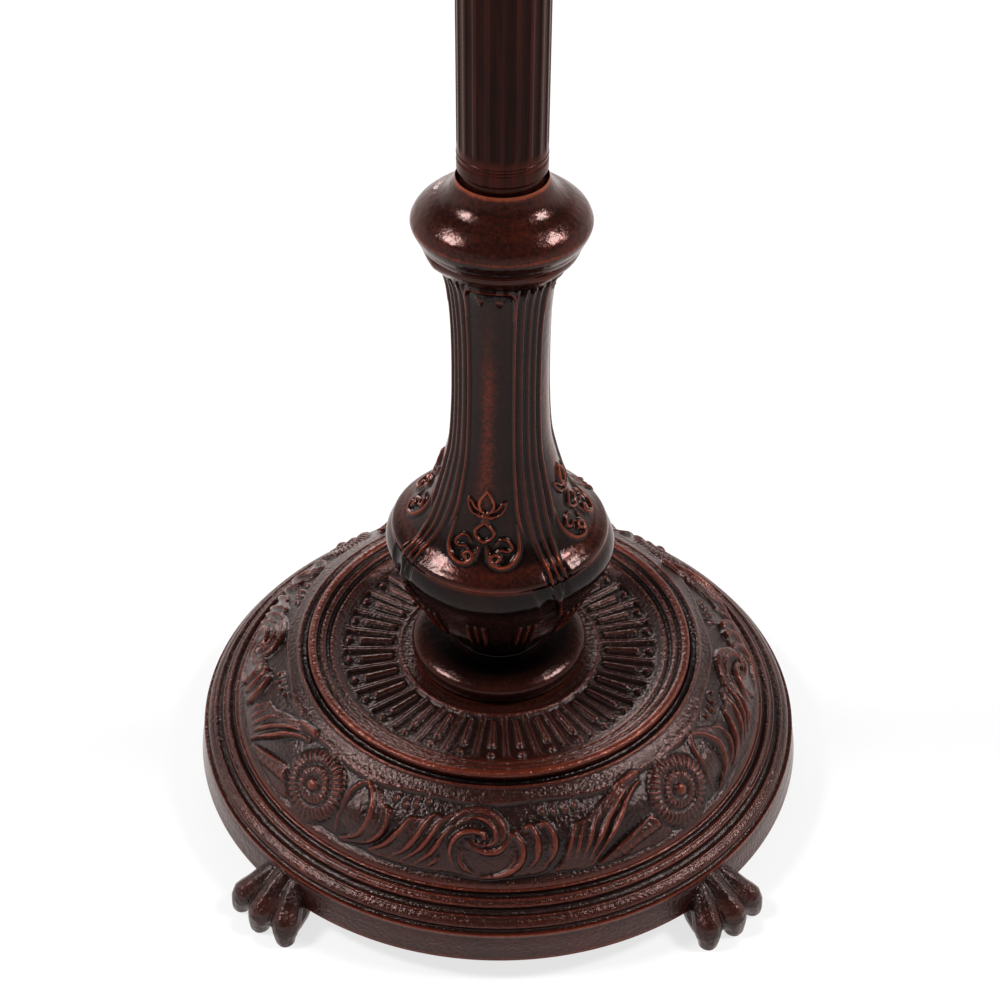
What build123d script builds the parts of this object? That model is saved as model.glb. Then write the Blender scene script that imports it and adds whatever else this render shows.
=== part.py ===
# Floor lamp: a cast, claw-footed base, a cast stem and collar, a fluted two-piece column
# and a leaded glass dome over two pull-chain lamp sockets.
# Millimetres, +Z up. The origin is on the floor under the column's axis, and -Y is the front.
import os
from math import atan2, cos, hypot, pi, radians, sin

from build123d import *

os.makedirs("parts", exist_ok=True)

# Clearances that the whole lamp shares.
pipe_gap = 0.3
slip_gap = 0.1
turn_gap = 0.05
seat_gap = 0.3

# The lamp pipe that everything is threaded on.
pipe_r = 4.8
pipe_bore_r = 3.4
nut_flat = 14.0
nut_t = 5.0
washer_r = 12.0
washer_t = 1.5

# The cast base, from its wall in to the dish that the stem stands in.
wall_foot_r = 153.0
wall_foot_z = 12.0
wall_h = 14.5
wall_draft = 3.0
band_w = 5.7
band_rise = 5.4
groove_w = 2.2
groove_dip = 0.6
ridge_w = 6.0
ridge_rise = 3.6
step_w = 2.8
step_rise = 3.0
frieze_bow = 4.0
dish_r = 95.5
cove_w = 9.5
frieze_rise = 30.1
lip_rise = 4.8
dish_edge_w = 3.5
dish_slope_w = 12.0
dish_depth = 6.2
cast_t = 5.5
hub_r = 28.0
hub_depth = 33.0

# The reeded medallion in the dish.
reed_count = 32
reed_in_r = 53.0
reed_out_r = 74.0
reed_w = 4.6
reed_h = 1.4
reed_turn = -92.6

# Each claw foot: three fanned toes that spring from the wall and stand on the floor.
# Two stand at the front, 84 degrees apart, and one at the back.
foot_turns = (-48, -132, 90)
toe_fan = 17.0
toe_root = 5.0
toe_w = 12.5
toe_reach = 26.0
ankle_w = 22.0

# The ballast and the bottom cover inside the base.
weight_r = 108.0
weight_t = 18.0
cover_r = 140.0
cover_t = 1.5

# The lead-in bush in the base's rear wall, beside the back foot.
lead_turn = -45
bush_bore_r = 3.3
bush_wall = 1.2
bush_flange = 2.0
bush_flange_t = 1.6

# The turned socle ring under the stem.
socle_r = 43.7
socle_top_r = 29.0
socle_h = 12.4

# The cast stem, a bowl with a shoulder under a waisted shaft.
stem_h = 224.0
stem_foot_r = 23.0
stem_neck_r = 22.2
bowl_r = 44.5
waist_r = 46.8
girth_r = 54.9
shoulder_r = 51.8
bowl_z = 32.0
waist_z = 45.0
girth_z = 59.0
shoulder_z = 68.5
shaft_z = 141.0
flare_z = 183.0
head_r = 34.8
stem_bore_r = 16.0
stem_plate_t = 9.0
stem_wall = 6.0
panel_count = 4
panel_arc = 52.0
panel_turn = -10.0
panel_depth = 1.6
panel_margin = 13.0
reeding_arc = 5.0
reeding_depth = 1.3
reeding_pitch = 12.0
rib_groups = 12
ribs_each = 3
rib_pitch = 4.0
rib_arc = 2.0
rib_proud = 0.9

# The bell collar that the column stands in.
collar_r = 38.8
collar_band_h = 8.5
collar_h = 30.3
collar_ledge = 5.5
collar_hole_r = 20.1
collar_bore_r = 14.0

# The fluted column: two tubes, joined and closed by turned fittings.
tube_r = 19.0
tube_wall = 2.2
lower_tube_l = 440.0
upper_tube_l = 440.0
flute_count = 20
flute_r = 2.4
flute_depth = 0.9
ferrule_h = 8.5
ferrule_gap_h = 8.5
fit_l = 10.0
knop_r = 27.0
knop_h = 44.0
capital_r = 29.0
capital_h = 30.0

# The two-light cluster and its lamp sockets, which lie across the lamp along X.
cluster_r = 19.0
cluster_h = 38.0
cluster_wall = 4.0
nipple_l = 20.0
socket_cap_r = 17.6
socket_cap_l = 16.0
socket_shell_r = 17.6
socket_shell_t = 0.9
socket_shell_l = 42.0
lamp_r = 13.2
screw_shell_t = 0.6
screw_shell_l = 24.0
switch_block = 18.0
switch_block_l = 12.0
contact_w = 6.0
contact_t = 0.8

# Each pull chain, its guide and the bell at its end.
chain_r = 1.5
chain_l = 112.0
guide_wall = 0.9
guide_l = 9.0
pull_r = 4.6
pull_l = 17.0

# The leaded glass dome, a faceted half ellipse on a rim and a crown ring.
shade_r = 228.6
shade_h = 191.0
shade_drop = 54.0
shade_sides = 16
shade_rows = 6
crown_r = 38.0
lead_w = 4.0
lead_t = 4.6
glass_t = 3.0
rim_w = 6.0
rim_t = 4.0

# What holds the dome: riser, bearer, crown ring, heat cap and finial.
bearer_t = 3.0
bearer_rim_w = 5.0
bearer_hub_r = 9.0
bearer_arm_w = 8.0
crown_ring_w = 7.0
crown_ring_t = 2.0
heat_cap_r = 50.0
heat_cap_h = 17.0
heat_cap_t = 1.6
vent_count = 12
vent_r = 3.2
finial_r = 13.0
finial_h = 62.0
riser_tail = 22.0

# Heights of the stack, from the floor up.
rim_z = wall_foot_z + wall_h
band_z = rim_z + band_rise
step_z = band_z + step_rise
frieze_z = step_z + step_rise
cove_z = frieze_z + frieze_rise
lip_z = cove_z + lip_rise
dish_z = lip_z - dish_depth
hub_z = dish_z - hub_depth
weight_z = hub_z - weight_t
cover_z = weight_z - cover_t
bottom_washer_z = cover_z - washer_t
bottom_nut_z = bottom_washer_z - nut_t
socle_z = dish_z
stem_z = socle_z + socle_h
collar_z = stem_z + stem_h
ledge_z = collar_z + collar_h - collar_ledge
lower_tube_z = ledge_z + ferrule_gap_h + ferrule_h
knop_z = lower_tube_z + lower_tube_l
upper_tube_z = knop_z + knop_h
capital_z = upper_tube_z + upper_tube_l
cluster_z = capital_z + capital_h
socket_z = cluster_z + cluster_h / 2
cluster_top_z = cluster_z + cluster_h
shade_z = socket_z - shade_drop
crown_z = shade_z + shade_h
bearer_z = crown_z - bearer_t
cap_z = crown_z + crown_ring_t
finial_z = cap_z + heat_cap_h
riser_top_z = finial_z + riser_tail


def turn(*path):
    """A turned solid. Each step of its half section is a corner, or an arc's middle and end."""
    edges = []
    here = path[0]
    for step in path[1:] + path[:1]:
        if isinstance(step[0], tuple):
            edges.append(ThreePointArc(here, step[0], step[1]))
            here = step[1]
        else:
            edges.append(Line(here, step))
            here = step
    return revolve(Plane.XZ * make_face(edges), Axis.Z)


def ring(outer_r, inner_r, z, height):
    """A plain ring or sleeve that stands on z."""
    body = Cylinder(outer_r, height) - Cylinder(inner_r, height)
    return Pos(0, 0, z + height / 2) * body


def around(shape, count, start=0.0):
    """The shape repeated at even turns about the lamp's axis."""
    return [Rot(0, 0, start + 360 * i / count) * shape for i in range(count)]


def keep(name, *shapes):
    """Writes one node, of one solid or of several that stay separate."""
    solids = [solid for shape in shapes for solid in shape.solids()]
    whole = solids[0] if len(solids) == 1 else Compound(children=solids)
    export_step(whole, "parts/" + name + ".step")


def base_section():
    """The base's outer half section, from the wall's foot in to the dish."""
    rim_r = wall_foot_r - wall_draft
    band_r = rim_r - band_w
    groove_r = band_r - groove_w
    ridge_r = groove_r - ridge_w / 2
    step_r = groove_r - ridge_w
    frieze_r = step_r - step_w
    cove_r = dish_r + cove_w
    bow_r = (frieze_r + cove_r) / 2
    bow_z = (frieze_z + cove_z) / 2
    slope = atan2(cove_z - frieze_z, frieze_r - cove_r)
    bow = (bow_r + frieze_bow * sin(slope), bow_z + frieze_bow * cos(slope))
    floor_r = dish_r - dish_edge_w - dish_slope_w
    return (
        (wall_foot_r, wall_foot_z),
        (rim_r, rim_z),
        (band_r, band_z),
        (groove_r, band_z - groove_dip),
        (ridge_r, band_z + ridge_rise),
        (step_r, step_z - groove_dip),
        (frieze_r, frieze_z),
        (bow, (cove_r, cove_z)),
        (dish_r + dish_edge_w, cove_z + groove_dip),
        (dish_r, lip_z - groove_dip),
        (dish_r - dish_edge_w, lip_z),
        (floor_r, dish_z),
    )


def base_hollow():
    """The base's inner half section, one casting thickness in from the outer one."""
    rim_r = wall_foot_r - wall_draft - cast_t
    frieze_r = rim_r - band_w - groove_w - ridge_w
    cove_r = dish_r + cove_w - cast_t
    return (
        (hub_r, hub_z),
        (hub_r, dish_z - cast_t),
        (dish_r - dish_edge_w - dish_slope_w, dish_z - cast_t),
        (cove_r - cast_t, cove_z - cast_t * 1.4),
        (frieze_r - cast_t * 0.8, frieze_z - cast_t),
        (rim_r, rim_z - cast_t * 0.4),
        (wall_foot_r - cast_t, wall_foot_z),
    )


def toe_section(x, low, high, width):
    """One eight-sided station of a toe, square to the toe's own line."""
    half = width / 2
    mid = (low + high) / 2
    waist = (high - low) / 4
    outline = [
        (-half * 0.5, low),
        (half * 0.5, low),
        (half, mid - waist),
        (half, mid + waist),
        (half * 0.5, high),
        (-half * 0.5, high),
        (-half, mid + waist),
        (-half, mid - waist),
    ]
    corners = [Vector(x, y, z) for y, z in outline]
    return Wire.make_polygon(corners, close=True)


def faceted(loops):
    """A closed solid of flat faces through loops that have equal counts of corners."""
    faces = [Face(Wire.make_polygon(loops[0], close=True))]
    for low, high in zip(loops, loops[1:]):
        for i in range(len(low)):
            j = (i + 1) % len(low)
            faces.append(Face(Wire.make_polygon([low[i], low[j], high[j], high[i]], close=True)))
    faces.append(Face(Wire.make_polygon(loops[-1], close=True)))
    return Solid(Shell(faces))


def toe(turn_deg):
    """One toe: out from the ankle over a knuckle to a blunt claw on the floor."""
    stations = (
        toe_section(0, wall_foot_z, rim_z - 1, toe_w * 0.8),
        toe_section(toe_reach * 0.32, wall_foot_z * 0.6, rim_z - 4, toe_w * 0.9),
        toe_section(toe_reach * 0.62, wall_foot_z * 0.1, rim_z - 9, toe_w * 1.05),
        toe_section(toe_reach * 0.86, 0, rim_z - 15, toe_w),
        toe_section(toe_reach, 0, rim_z - 21, toe_w * 0.7),
    )
    limb = loft([Face(wire) for wire in stations], ruled=True)
    return Pos(0, toe_root * turn_deg / toe_fan, 0) * Rot(0, 0, turn_deg) * limb


def claw_foot():
    """A foot that stands in front of the wall along +X, joined to it by an ankle block."""
    root_r = wall_foot_r - wall_draft - cast_t / 2
    pad = Pos(toe_reach * 0.3, 0, rim_z * 0.3) * Box(toe_reach * 0.7, ankle_w, rim_z * 0.6)
    foot = toe(-toe_fan) + toe(0) + toe(toe_fan) + pad
    return Pos(root_r, 0, 0) * foot


# Cast iron base: shell, reeded dish, claw feet, a hole for the pipe and a lead-in hole.
def make_base():
    bore_r = pipe_r + pipe_gap
    shell = turn(*base_section(), (bore_r, dish_z), (bore_r, hub_z), *base_hollow())
    feet = [Rot(0, 0, turned) * claw_foot() for turned in foot_turns]
    hollow = Pos(0, 0, rim_z / 2) * Cylinder(wall_foot_r - cast_t, rim_z)
    for foot in feet:
        shell += foot
        shell -= foot & hollow
    reed = Polyline(
        (reed_in_r, -reed_w / 4),
        (reed_out_r, -reed_w / 2),
        (reed_out_r + reed_w / 2, 0),
        (reed_out_r, reed_w / 2),
        (reed_in_r, reed_w / 4),
        close=True,
    )
    tongue = Pos(0, 0, dish_z - reed_h) * extrude(make_face(reed), reed_h * 2)
    shell += around(tongue, reed_count, reed_turn)
    spot_z = (wall_foot_z + rim_z) / 2
    spot_y = wall_foot_r - wall_draft - groove_dip
    hole_r = bush_bore_r + bush_wall
    hole = Pos(0, spot_y, spot_z) * Rot(90, 0, 0) * Cylinder(hole_r, cast_t * 4)
    spot_r = hole_r + bush_flange
    spot = Pos(0, spot_y + cast_t, spot_z) * Rot(90, 0, 0) * Cylinder(spot_r, cast_t * 2)
    return shell - Rot(0, 0, lead_turn) * (hole + spot)


def make_bush():
    spot_z = (wall_foot_z + rim_z) / 2
    spot_y = wall_foot_r - wall_draft - groove_dip
    outer_r = bush_bore_r + bush_wall
    sleeve_l = cast_t + bush_flange_t
    sleeve = Cylinder(outer_r, sleeve_l, align=(Align.CENTER, Align.CENTER, Align.MAX))
    flange = Cylinder(
        outer_r + bush_flange - slip_gap,
        bush_flange_t,
        align=(Align.CENTER, Align.CENTER, Align.MIN),
    )
    bore = Cylinder(bush_bore_r, sleeve_l * 4)
    return Rot(0, 0, lead_turn) * Pos(0, spot_y, spot_z) * Rot(-90, 0, 0) * (sleeve + flange - bore)


def nut(z):
    """A hexagon nut on the pipe, standing on z."""
    body = extrude(RegularPolygon(nut_flat / 2, 6, major_radius=False), nut_t)
    bore = Cylinder(pipe_r + slip_gap, nut_t * 3)
    return Pos(0, 0, z) * (body - bore)


# Socle: a turned ring with a rolled edge.
def make_socle():
    bore_r = pipe_r + pipe_gap
    swell = socle_h * 0.42
    return turn(
        (bore_r, socle_z),
        (socle_r - 2.0, socle_z),
        ((socle_r, socle_z + swell), (socle_r - 6.0, socle_z + socle_h * 0.84)),
        (socle_top_r, socle_z + socle_h),
        (bore_r, socle_z + socle_h),
    )


def shaft_path(inset):
    """The waisted shaft's outline from shoulder to head, moved in by inset."""
    neck_r = stem_neck_r - inset
    start = (shoulder_r - 5.5 - inset, stem_z + shoulder_z + 4.0)
    bend = (neck_r + 8.3, stem_z + shoulder_z + 23.0)
    top = (neck_r, stem_z + shaft_z)
    flare = (neck_r, stem_z + flare_z)
    head = (head_r - 9.0 - inset, collar_z - 12.0)
    return start, (bend, top), flare, head


def shaft_cutter(arc, depth, foot_z):
    """What sinks a panel or a groove into the shaft, as a sector centred on the front."""
    start, bend, flare, head = shaft_path(depth)
    outside_r = girth_r + 5.0
    skin = [
        Line(start, (outside_r, start[1])),
        Line((outside_r, start[1]), (outside_r, head[1])),
        Line((outside_r, head[1]), head),
        Line(head, flare),
        Line(flare, bend[1]),
        ThreePointArc(bend[1], bend[0], start),
    ]
    sector = revolve(Plane.XZ * make_face(skin), Axis.Z, arc)
    low_z = stem_z + shoulder_z + foot_z
    high_z = head[1] - 3.0
    reach = 4 * outside_r
    window = Pos(0, 0, (low_z + high_z) / 2) * Box(reach, reach, high_z - low_z)
    return Rot(0, 0, -90 - arc / 2) * (sector & window)


def bowl_path(proud):
    """The bowl's outline from neck to lip, moved out by proud."""
    start = (stem_foot_r + proud, stem_z + 12.0)
    bend = (bowl_r - 7.0 + proud * 0.7, stem_z + 23.0 - proud * 0.7)
    return start, (bend, (bowl_r + proud, stem_z + bowl_z))


def bowl_rib():
    """One upright rib that follows the bowl's curve and stands proud of it."""
    start, bend = bowl_path(rib_proud)
    inner_r = stem_foot_r - 2.0
    skin = [
        ThreePointArc(start, bend[0], bend[1]),
        Line(bend[1], (bowl_r - 2.0, bend[1][1])),
        Line((bowl_r - 2.0, bend[1][1]), (inner_r, start[1])),
        Line((inner_r, start[1]), start),
    ]
    return Rot(0, 0, -rib_arc / 2) * revolve(Plane.XZ * make_face(skin), Axis.Z, rib_arc)


# Stem: a cast bowl, shoulder and shaft, hollow, with sunken panels between reeding,
# and groups of short ribs round the bowl.
def make_stem():
    bore_r = pipe_r + pipe_gap
    top_z = collar_z
    start, bend, flare, head = shaft_path(0)
    bowl_start, bowl_bend = bowl_path(0)
    body = turn(
        (bore_r, stem_z),
        (stem_foot_r, stem_z),
        bowl_start,
        bowl_bend,
        (waist_r, stem_z + waist_z),
        ((waist_r + 2.4, stem_z + waist_z + 6.0), (girth_r, stem_z + girth_z)),
        (shoulder_r, stem_z + shoulder_z),
        start,
        bend,
        flare,
        head,
        (head_r, top_z - 3.0),
        (head_r, top_z),
        (bore_r, top_z),
        (bore_r, top_z - stem_plate_t),
        (stem_bore_r, top_z - stem_plate_t),
        (stem_bore_r, stem_z + shoulder_z + 5 * stem_wall),
        (shoulder_r - stem_wall * 1.3, stem_z + girth_z),
        (bowl_r - stem_wall, stem_z + bowl_z),
        (stem_bore_r, stem_z + stem_plate_t),
        (bore_r, stem_z + stem_plate_t),
    )
    quarter = 360 / panel_count
    body -= around(shaft_cutter(panel_arc, panel_depth, panel_margin), panel_count, panel_turn)
    groove = shaft_cutter(reeding_arc, reeding_depth, panel_margin / 2)
    for offset in (-reeding_pitch / 2, reeding_pitch / 2):
        body -= around(groove, panel_count, panel_turn + quarter / 2 + offset)
    rib = bowl_rib()
    for place in range(ribs_each):
        offset = (place - (ribs_each - 1) / 2) * rib_pitch
        body += around(rib, rib_groups, 360 / rib_groups / 2 + offset)
    return body


# Collar: a cast bell with a rim, a ledge for the column and a hollow behind it.
def make_collar():
    bore_r = pipe_r + pipe_gap
    rim_top = collar_z + collar_band_h
    top = collar_z + collar_h
    return turn(
        (bore_r, collar_z),
        (head_r, collar_z),
        (collar_r, rim_top),
        (collar_r - 0.6, rim_top + 1.6),
        ((collar_hole_r + 7.5, top - 10.5), (collar_hole_r + 0.6, top)),
        (collar_hole_r, top),
        (collar_hole_r, ledge_z),
        (collar_bore_r, ledge_z),
        (collar_bore_r, collar_z + stem_plate_t),
        (bore_r, collar_z + stem_plate_t),
    )


# Ferrule: the ring at the column's foot, with a spigot up the tube.
def make_ferrule():
    bore_r = pipe_r + pipe_gap
    band_z0 = ledge_z + ferrule_gap_h
    return turn(
        (bore_r, ledge_z),
        (tube_r - 1.2, ledge_z),
        (tube_r - 1.2, band_z0),
        (tube_r + 0.2, band_z0),
        (tube_r + 0.2, lower_tube_z),
        (tube_r - tube_wall - slip_gap, lower_tube_z),
        (tube_r - tube_wall - slip_gap, lower_tube_z + fit_l),
        (bore_r, lower_tube_z + fit_l),
    )


def fluted_tube(z, length):
    """A column tube: flutes round the outside, a plain bore inside."""
    outline = Circle(tube_r)
    flute = Pos(tube_r + flute_r - flute_depth, 0) * Circle(flute_r)
    outline -= [Rot(0, 0, 360 * i / flute_count) * flute for i in range(flute_count)]
    outline -= Circle(tube_r - tube_wall)
    return Pos(0, 0, z) * extrude(outline, length)


# Knop: the turned joint between the two tubes, with a spigot each way.
def make_knop():
    bore_r = pipe_r + pipe_gap
    spigot_r = tube_r - tube_wall - slip_gap
    top = knop_z + knop_h
    return turn(
        (bore_r, knop_z - fit_l),
        (spigot_r, knop_z - fit_l),
        (spigot_r, knop_z),
        (tube_r + 0.8, knop_z),
        (tube_r + 0.8, knop_z + 5.0),
        (tube_r - 2.0, knop_z + 9.0),
        (knop_r - 4.0, knop_z + knop_h * 0.32),
        ((knop_r, knop_z + knop_h / 2), (knop_r - 4.0, top - knop_h * 0.32)),
        (tube_r - 2.0, top - 9.0),
        (tube_r + 0.8, top - 5.0),
        (tube_r + 0.8, top),
        (spigot_r, top),
        (spigot_r, top + fit_l),
        (bore_r, top + fit_l),
    )


# Capital: the turned cup on the column that the cluster is screwed down on.
def make_capital():
    bore_r = pipe_r + pipe_gap
    spigot_r = tube_r - tube_wall - slip_gap
    top = capital_z + capital_h
    return turn(
        (bore_r, capital_z - fit_l),
        (spigot_r, capital_z - fit_l),
        (spigot_r, capital_z),
        (tube_r + 0.8, capital_z),
        (tube_r + 0.8, capital_z + 4.0),
        (tube_r - 2.0, capital_z + 7.0),
        ((tube_r + 3.0, capital_z + capital_h * 0.55), (capital_r, top - 4.0)),
        (capital_r, top - 2.0),
        (cluster_r - 2.0, top),
        (bore_r, top),
    )


# Cluster: a hollow turned body with an outlet each side, closed top and bottom.
def make_cluster():
    bore_r = pipe_r + pipe_gap
    top = cluster_top_z
    body = turn(
        (bore_r, cluster_z),
        (cluster_r - 3.0, cluster_z),
        (cluster_r, cluster_z + 4.0),
        (cluster_r, top - 4.0),
        (cluster_r - 3.0, top),
        (bore_r, top),
        (bore_r, top - cluster_wall),
        (cluster_r - cluster_wall, top - cluster_wall),
        (cluster_r - cluster_wall, cluster_z + cluster_wall),
        (bore_r, cluster_z + cluster_wall),
    )
    outlets = Pos(0, 0, socket_z) * Rot(0, 90, 0) * Cylinder(pipe_r + slip_gap, cluster_r * 3)
    return body - outlets


# Distances out from the lamp's axis to the pieces of a socket, along its own axis.
nipple_x = cluster_r - cluster_wall
cap_x = cluster_r + seat_gap
shell_x = cap_x + socket_cap_l
block_x = shell_x + seat_gap
screw_x = block_x + switch_block_l
chain_x = block_x + switch_block_l / 2


def out_along(side, shape):
    """Lays a piece that stands on +Z out along +X, or -X, at the sockets' height."""
    return Pos(0, 0, socket_z) * Rot(0, 90 * side, 0) * shape


def make_nipple(side):
    tube = ring(pipe_r, pipe_bore_r, nipple_x, nipple_l)
    return out_along(side, tube)


def make_socket_cap(side):
    wall = socket_shell_t
    end = cap_x + socket_cap_l
    cup = turn(
        (pipe_r + slip_gap, cap_x),
        (pipe_r + 4.0, cap_x),
        (socket_cap_r, end - 7.0),
        (socket_cap_r, end),
        (socket_cap_r - wall, end),
        (socket_cap_r - wall, end - 6.0),
        (pipe_r + slip_gap, end - 6.0),
    )
    return out_along(side, cup)


def make_socket_shell(side):
    tube = ring(socket_shell_r, socket_shell_r - socket_shell_t, shell_x, socket_shell_l)
    laid = out_along(side, tube)
    slot = Pos(side * chain_x, 0, socket_z - socket_shell_r) * Cylinder(chain_r + pipe_gap, 12.0)
    return laid - slot


def make_switch_block(side):
    """The moulded body of the socket, with a boss that bears on the cap's nipple."""
    block = Box(switch_block, switch_block, switch_block_l)
    nose_l = block_x - nipple_x - nipple_l
    nose = Cylinder(pipe_r - turn_gap, nose_l)
    laid = Pos(0, 0, block_x + switch_block_l / 2) * block
    laid += Pos(0, 0, nipple_x + nipple_l + nose_l / 2) * nose
    return out_along(side, laid)


def make_screw_shell(side):
    tube = ring(lamp_r + screw_shell_t, lamp_r, screw_x + contact_t, screw_shell_l)
    return out_along(side, tube)


def make_contact(side):
    strip = Box(contact_w, contact_w * 2, contact_t)
    return out_along(side, Pos(0, 0, screw_x + contact_t / 2) * strip)


def make_chain_guide(side):
    bore_r = chain_r + pipe_gap
    top = socket_z - socket_shell_r + socket_shell_t / 2
    low = top - guide_l
    funnel = turn(
        (bore_r, low),
        (bore_r + guide_wall * 2.4, low),
        (bore_r + guide_wall, low + guide_l * 0.45),
        (bore_r + guide_wall, top),
        (bore_r, top),
    )
    shell = out_along(1, Cylinder(socket_shell_r, chain_x * 4))
    return Pos(side * chain_x, 0, 0) * funnel - shell


def make_chain(side):
    top = socket_z - switch_block / 2 - seat_gap
    rod = extrude(RegularPolygon(chain_r, 6), chain_l)
    return Pos(side * chain_x, 0, top - chain_l) * rod


def make_pull(side):
    low = socket_z - switch_block / 2 - seat_gap - chain_l - pull_l
    bell = turn(
        (0, low),
        (pull_r, low),
        (pull_r, low + pull_l * 0.15),
        (pull_r * 0.45, low + pull_l * 0.7),
        (pull_r * 0.45, low + pull_l),
        (0, low + pull_l),
    )
    return Pos(side * chain_x, 0, 0) * bell


# Dome: the facet rows' outline, as (radius at the corners, height) from rim to crown.
def dome_ring(i):
    angle = radians(90 * i / shade_rows)
    return crown_r + (shade_r - crown_r) * cos(angle), shade_z + shade_h * sin(angle)


def polygon_loop(corner_r, z):
    step = 2 * pi / shade_sides
    return [Vector(corner_r * cos(step * (k + 0.5)), corner_r * sin(step * (k + 0.5)), z)
            for k in range(shade_sides)]


def dome_inside():
    """The outline moved in by the lead's thickness, kept parallel row by row."""
    flat = cos(pi / shade_sides)
    outer = [(dome_ring(i)[0] * flat, dome_ring(i)[1]) for i in range(shade_rows + 1)]
    normals = []
    for (r0, z0), (r1, z1) in zip(outer, outer[1:]):
        length = hypot(r1 - r0, z1 - z0)
        normals.append(((z0 - z1) / length, (r1 - r0) / length))
    first, last = normals[0], normals[-1]
    loops = [(outer[0][0] + lead_t / first[0], outer[0][1])]
    for i in range(1, shade_rows):
        a, b = normals[i - 1], normals[i]
        share = lead_t / (1 + a[0] * b[0] + a[1] * b[1])
        loops.append((outer[i][0] + (a[0] + b[0]) * share, outer[i][1] + (a[1] + b[1]) * share))
    loops.append((outer[-1][0], outer[-1][1] + lead_t / last[1]))
    return [(r / flat, z) for r, z in loops]


def pane_frame(row):
    """The middle plane of a row's pane that faces +X, with its half widths and half height."""
    flat = cos(pi / shade_sides)
    (low_r, low_z), (high_r, high_z) = dome_ring(row), dome_ring(row + 1)
    low = Vector(low_r * flat, 0, low_z)
    high = Vector(high_r * flat, 0, high_z)
    up = (high - low).normalized()
    across = Vector(0, 1, 0)
    out = across.cross(up)
    middle = (low + high) * 0.5 - out * (lead_t / 2)
    plane = Plane(origin=middle, x_dir=across, z_dir=out)
    side = sin(pi / shade_sides)
    return plane, low_r * side, high_r * side, (high - low).length / 2


def pane(row, thickness):
    """A flat pane between its cames, as a slab of the given thickness."""
    plane, low_half, high_half, half_h = pane_frame(row)
    lead = lead_w / 2
    slope = hypot(low_half - high_half, 2 * half_h) / (2 * half_h)
    low_at = low_half - (low_half - high_half) * lead / (2 * half_h) - lead * slope
    high_at = high_half + (low_half - high_half) * lead / (2 * half_h) - lead * slope
    outline = Polyline(
        (-low_at, lead - half_h),
        (low_at, lead - half_h),
        (high_at, half_h - lead),
        (-high_at, half_h - lead),
        close=True,
    )
    return extrude(plane * make_face(outline), thickness / 2, both=True)


def make_panes(row):
    return around(pane(row, glass_t), shade_sides)


def make_lead():
    outer = [polygon_loop(*dome_ring(i)) for i in range(shade_rows + 1)]
    inner = [polygon_loop(r, z) for r, z in dome_inside()]
    lattice = faceted(outer) - faceted(inner)
    crown = extrude(Pos(0, 0, crown_z - lead_t * 3) * shade_polygon(crown_r), lead_t * 6)
    lattice -= crown
    for row in range(shade_rows):
        lattice -= around(pane(row, lead_t * 3), shade_sides)
    return lattice


def shade_polygon(corner_r):
    return RegularPolygon(corner_r, shade_sides, rotation=180 / shade_sides)


def make_shade_rim():
    section = shade_polygon(shade_r) - shade_polygon(shade_r - rim_w)
    return Pos(0, 0, shade_z - rim_t) * extrude(section, rim_t)


# Crown ring: a brass ring soldered in the dome's mouth, with a flange that bears on the bearer.
def make_crown_ring():
    mouth_r = crown_r * cos(pi / shade_sides) - slip_gap
    return turn(
        (mouth_r - crown_ring_w, crown_z),
        (mouth_r, crown_z),
        (crown_r + 4.0, crown_z),
        (crown_r + 4.0, cap_z),
        (mouth_r - crown_ring_w, cap_z),
    )


def make_bearer():
    mouth_r = crown_r * cos(pi / shade_sides) - slip_gap * 5
    hub = ring(bearer_hub_r, pipe_r + slip_gap, bearer_z - bearer_t, bearer_t * 2)
    rim = ring(mouth_r, mouth_r - bearer_rim_w, bearer_z, bearer_t)
    arm_l = mouth_r - bearer_hub_r - bearer_rim_w / 2 + 1.0
    arm = Pos(bearer_hub_r - 1.0 + arm_l / 2, 0, bearer_z + bearer_t / 2)
    arm = arm * Box(arm_l, bearer_arm_w, bearer_t)
    return hub + rim + around(arm, 3)


def make_riser():
    low = cluster_top_z - cluster_wall - nut_t - 2.0
    return ring(pipe_r, pipe_bore_r, low, riser_top_z - low)


def make_heat_cap():
    top = finial_z
    hole_r = pipe_r + turn_gap
    cap = turn(
        (hole_r, top - heat_cap_t),
        (hole_r, top),
        (finial_r, top),
        (heat_cap_r * 0.7, cap_z + heat_cap_h * 0.72),
        (heat_cap_r, cap_z + heat_cap_t),
        (heat_cap_r, cap_z),
        (heat_cap_r - 8.0, cap_z),
        (finial_r, top - heat_cap_t),
    )
    vent_at = (heat_cap_r * 0.7 + finial_r) / 2
    vent = Pos(vent_at, 0, top - heat_cap_h / 2) * Cylinder(vent_r, heat_cap_h)
    return cap - around(vent, vent_count)


def make_finial():
    low = finial_z
    bore_r = pipe_r + turn_gap
    return turn(
        (bore_r, low),
        (finial_r * 0.8, low),
        (finial_r * 0.8, low + 4.0),
        (finial_r * 0.55, low + 9.0),
        (finial_r * 0.55, low + 13.0),
        (finial_r, low + riser_tail + 4.0),
        (finial_r * 0.85, low + riser_tail + 14.0),
        (finial_r * 0.3, low + finial_h - 12.0),
        (finial_r * 0.3, low + finial_h - 6.0),
        (0, low + finial_h),
        (0, low + riser_tail + seat_gap),
        (bore_r, low + riser_tail + seat_gap),
    )


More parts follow.
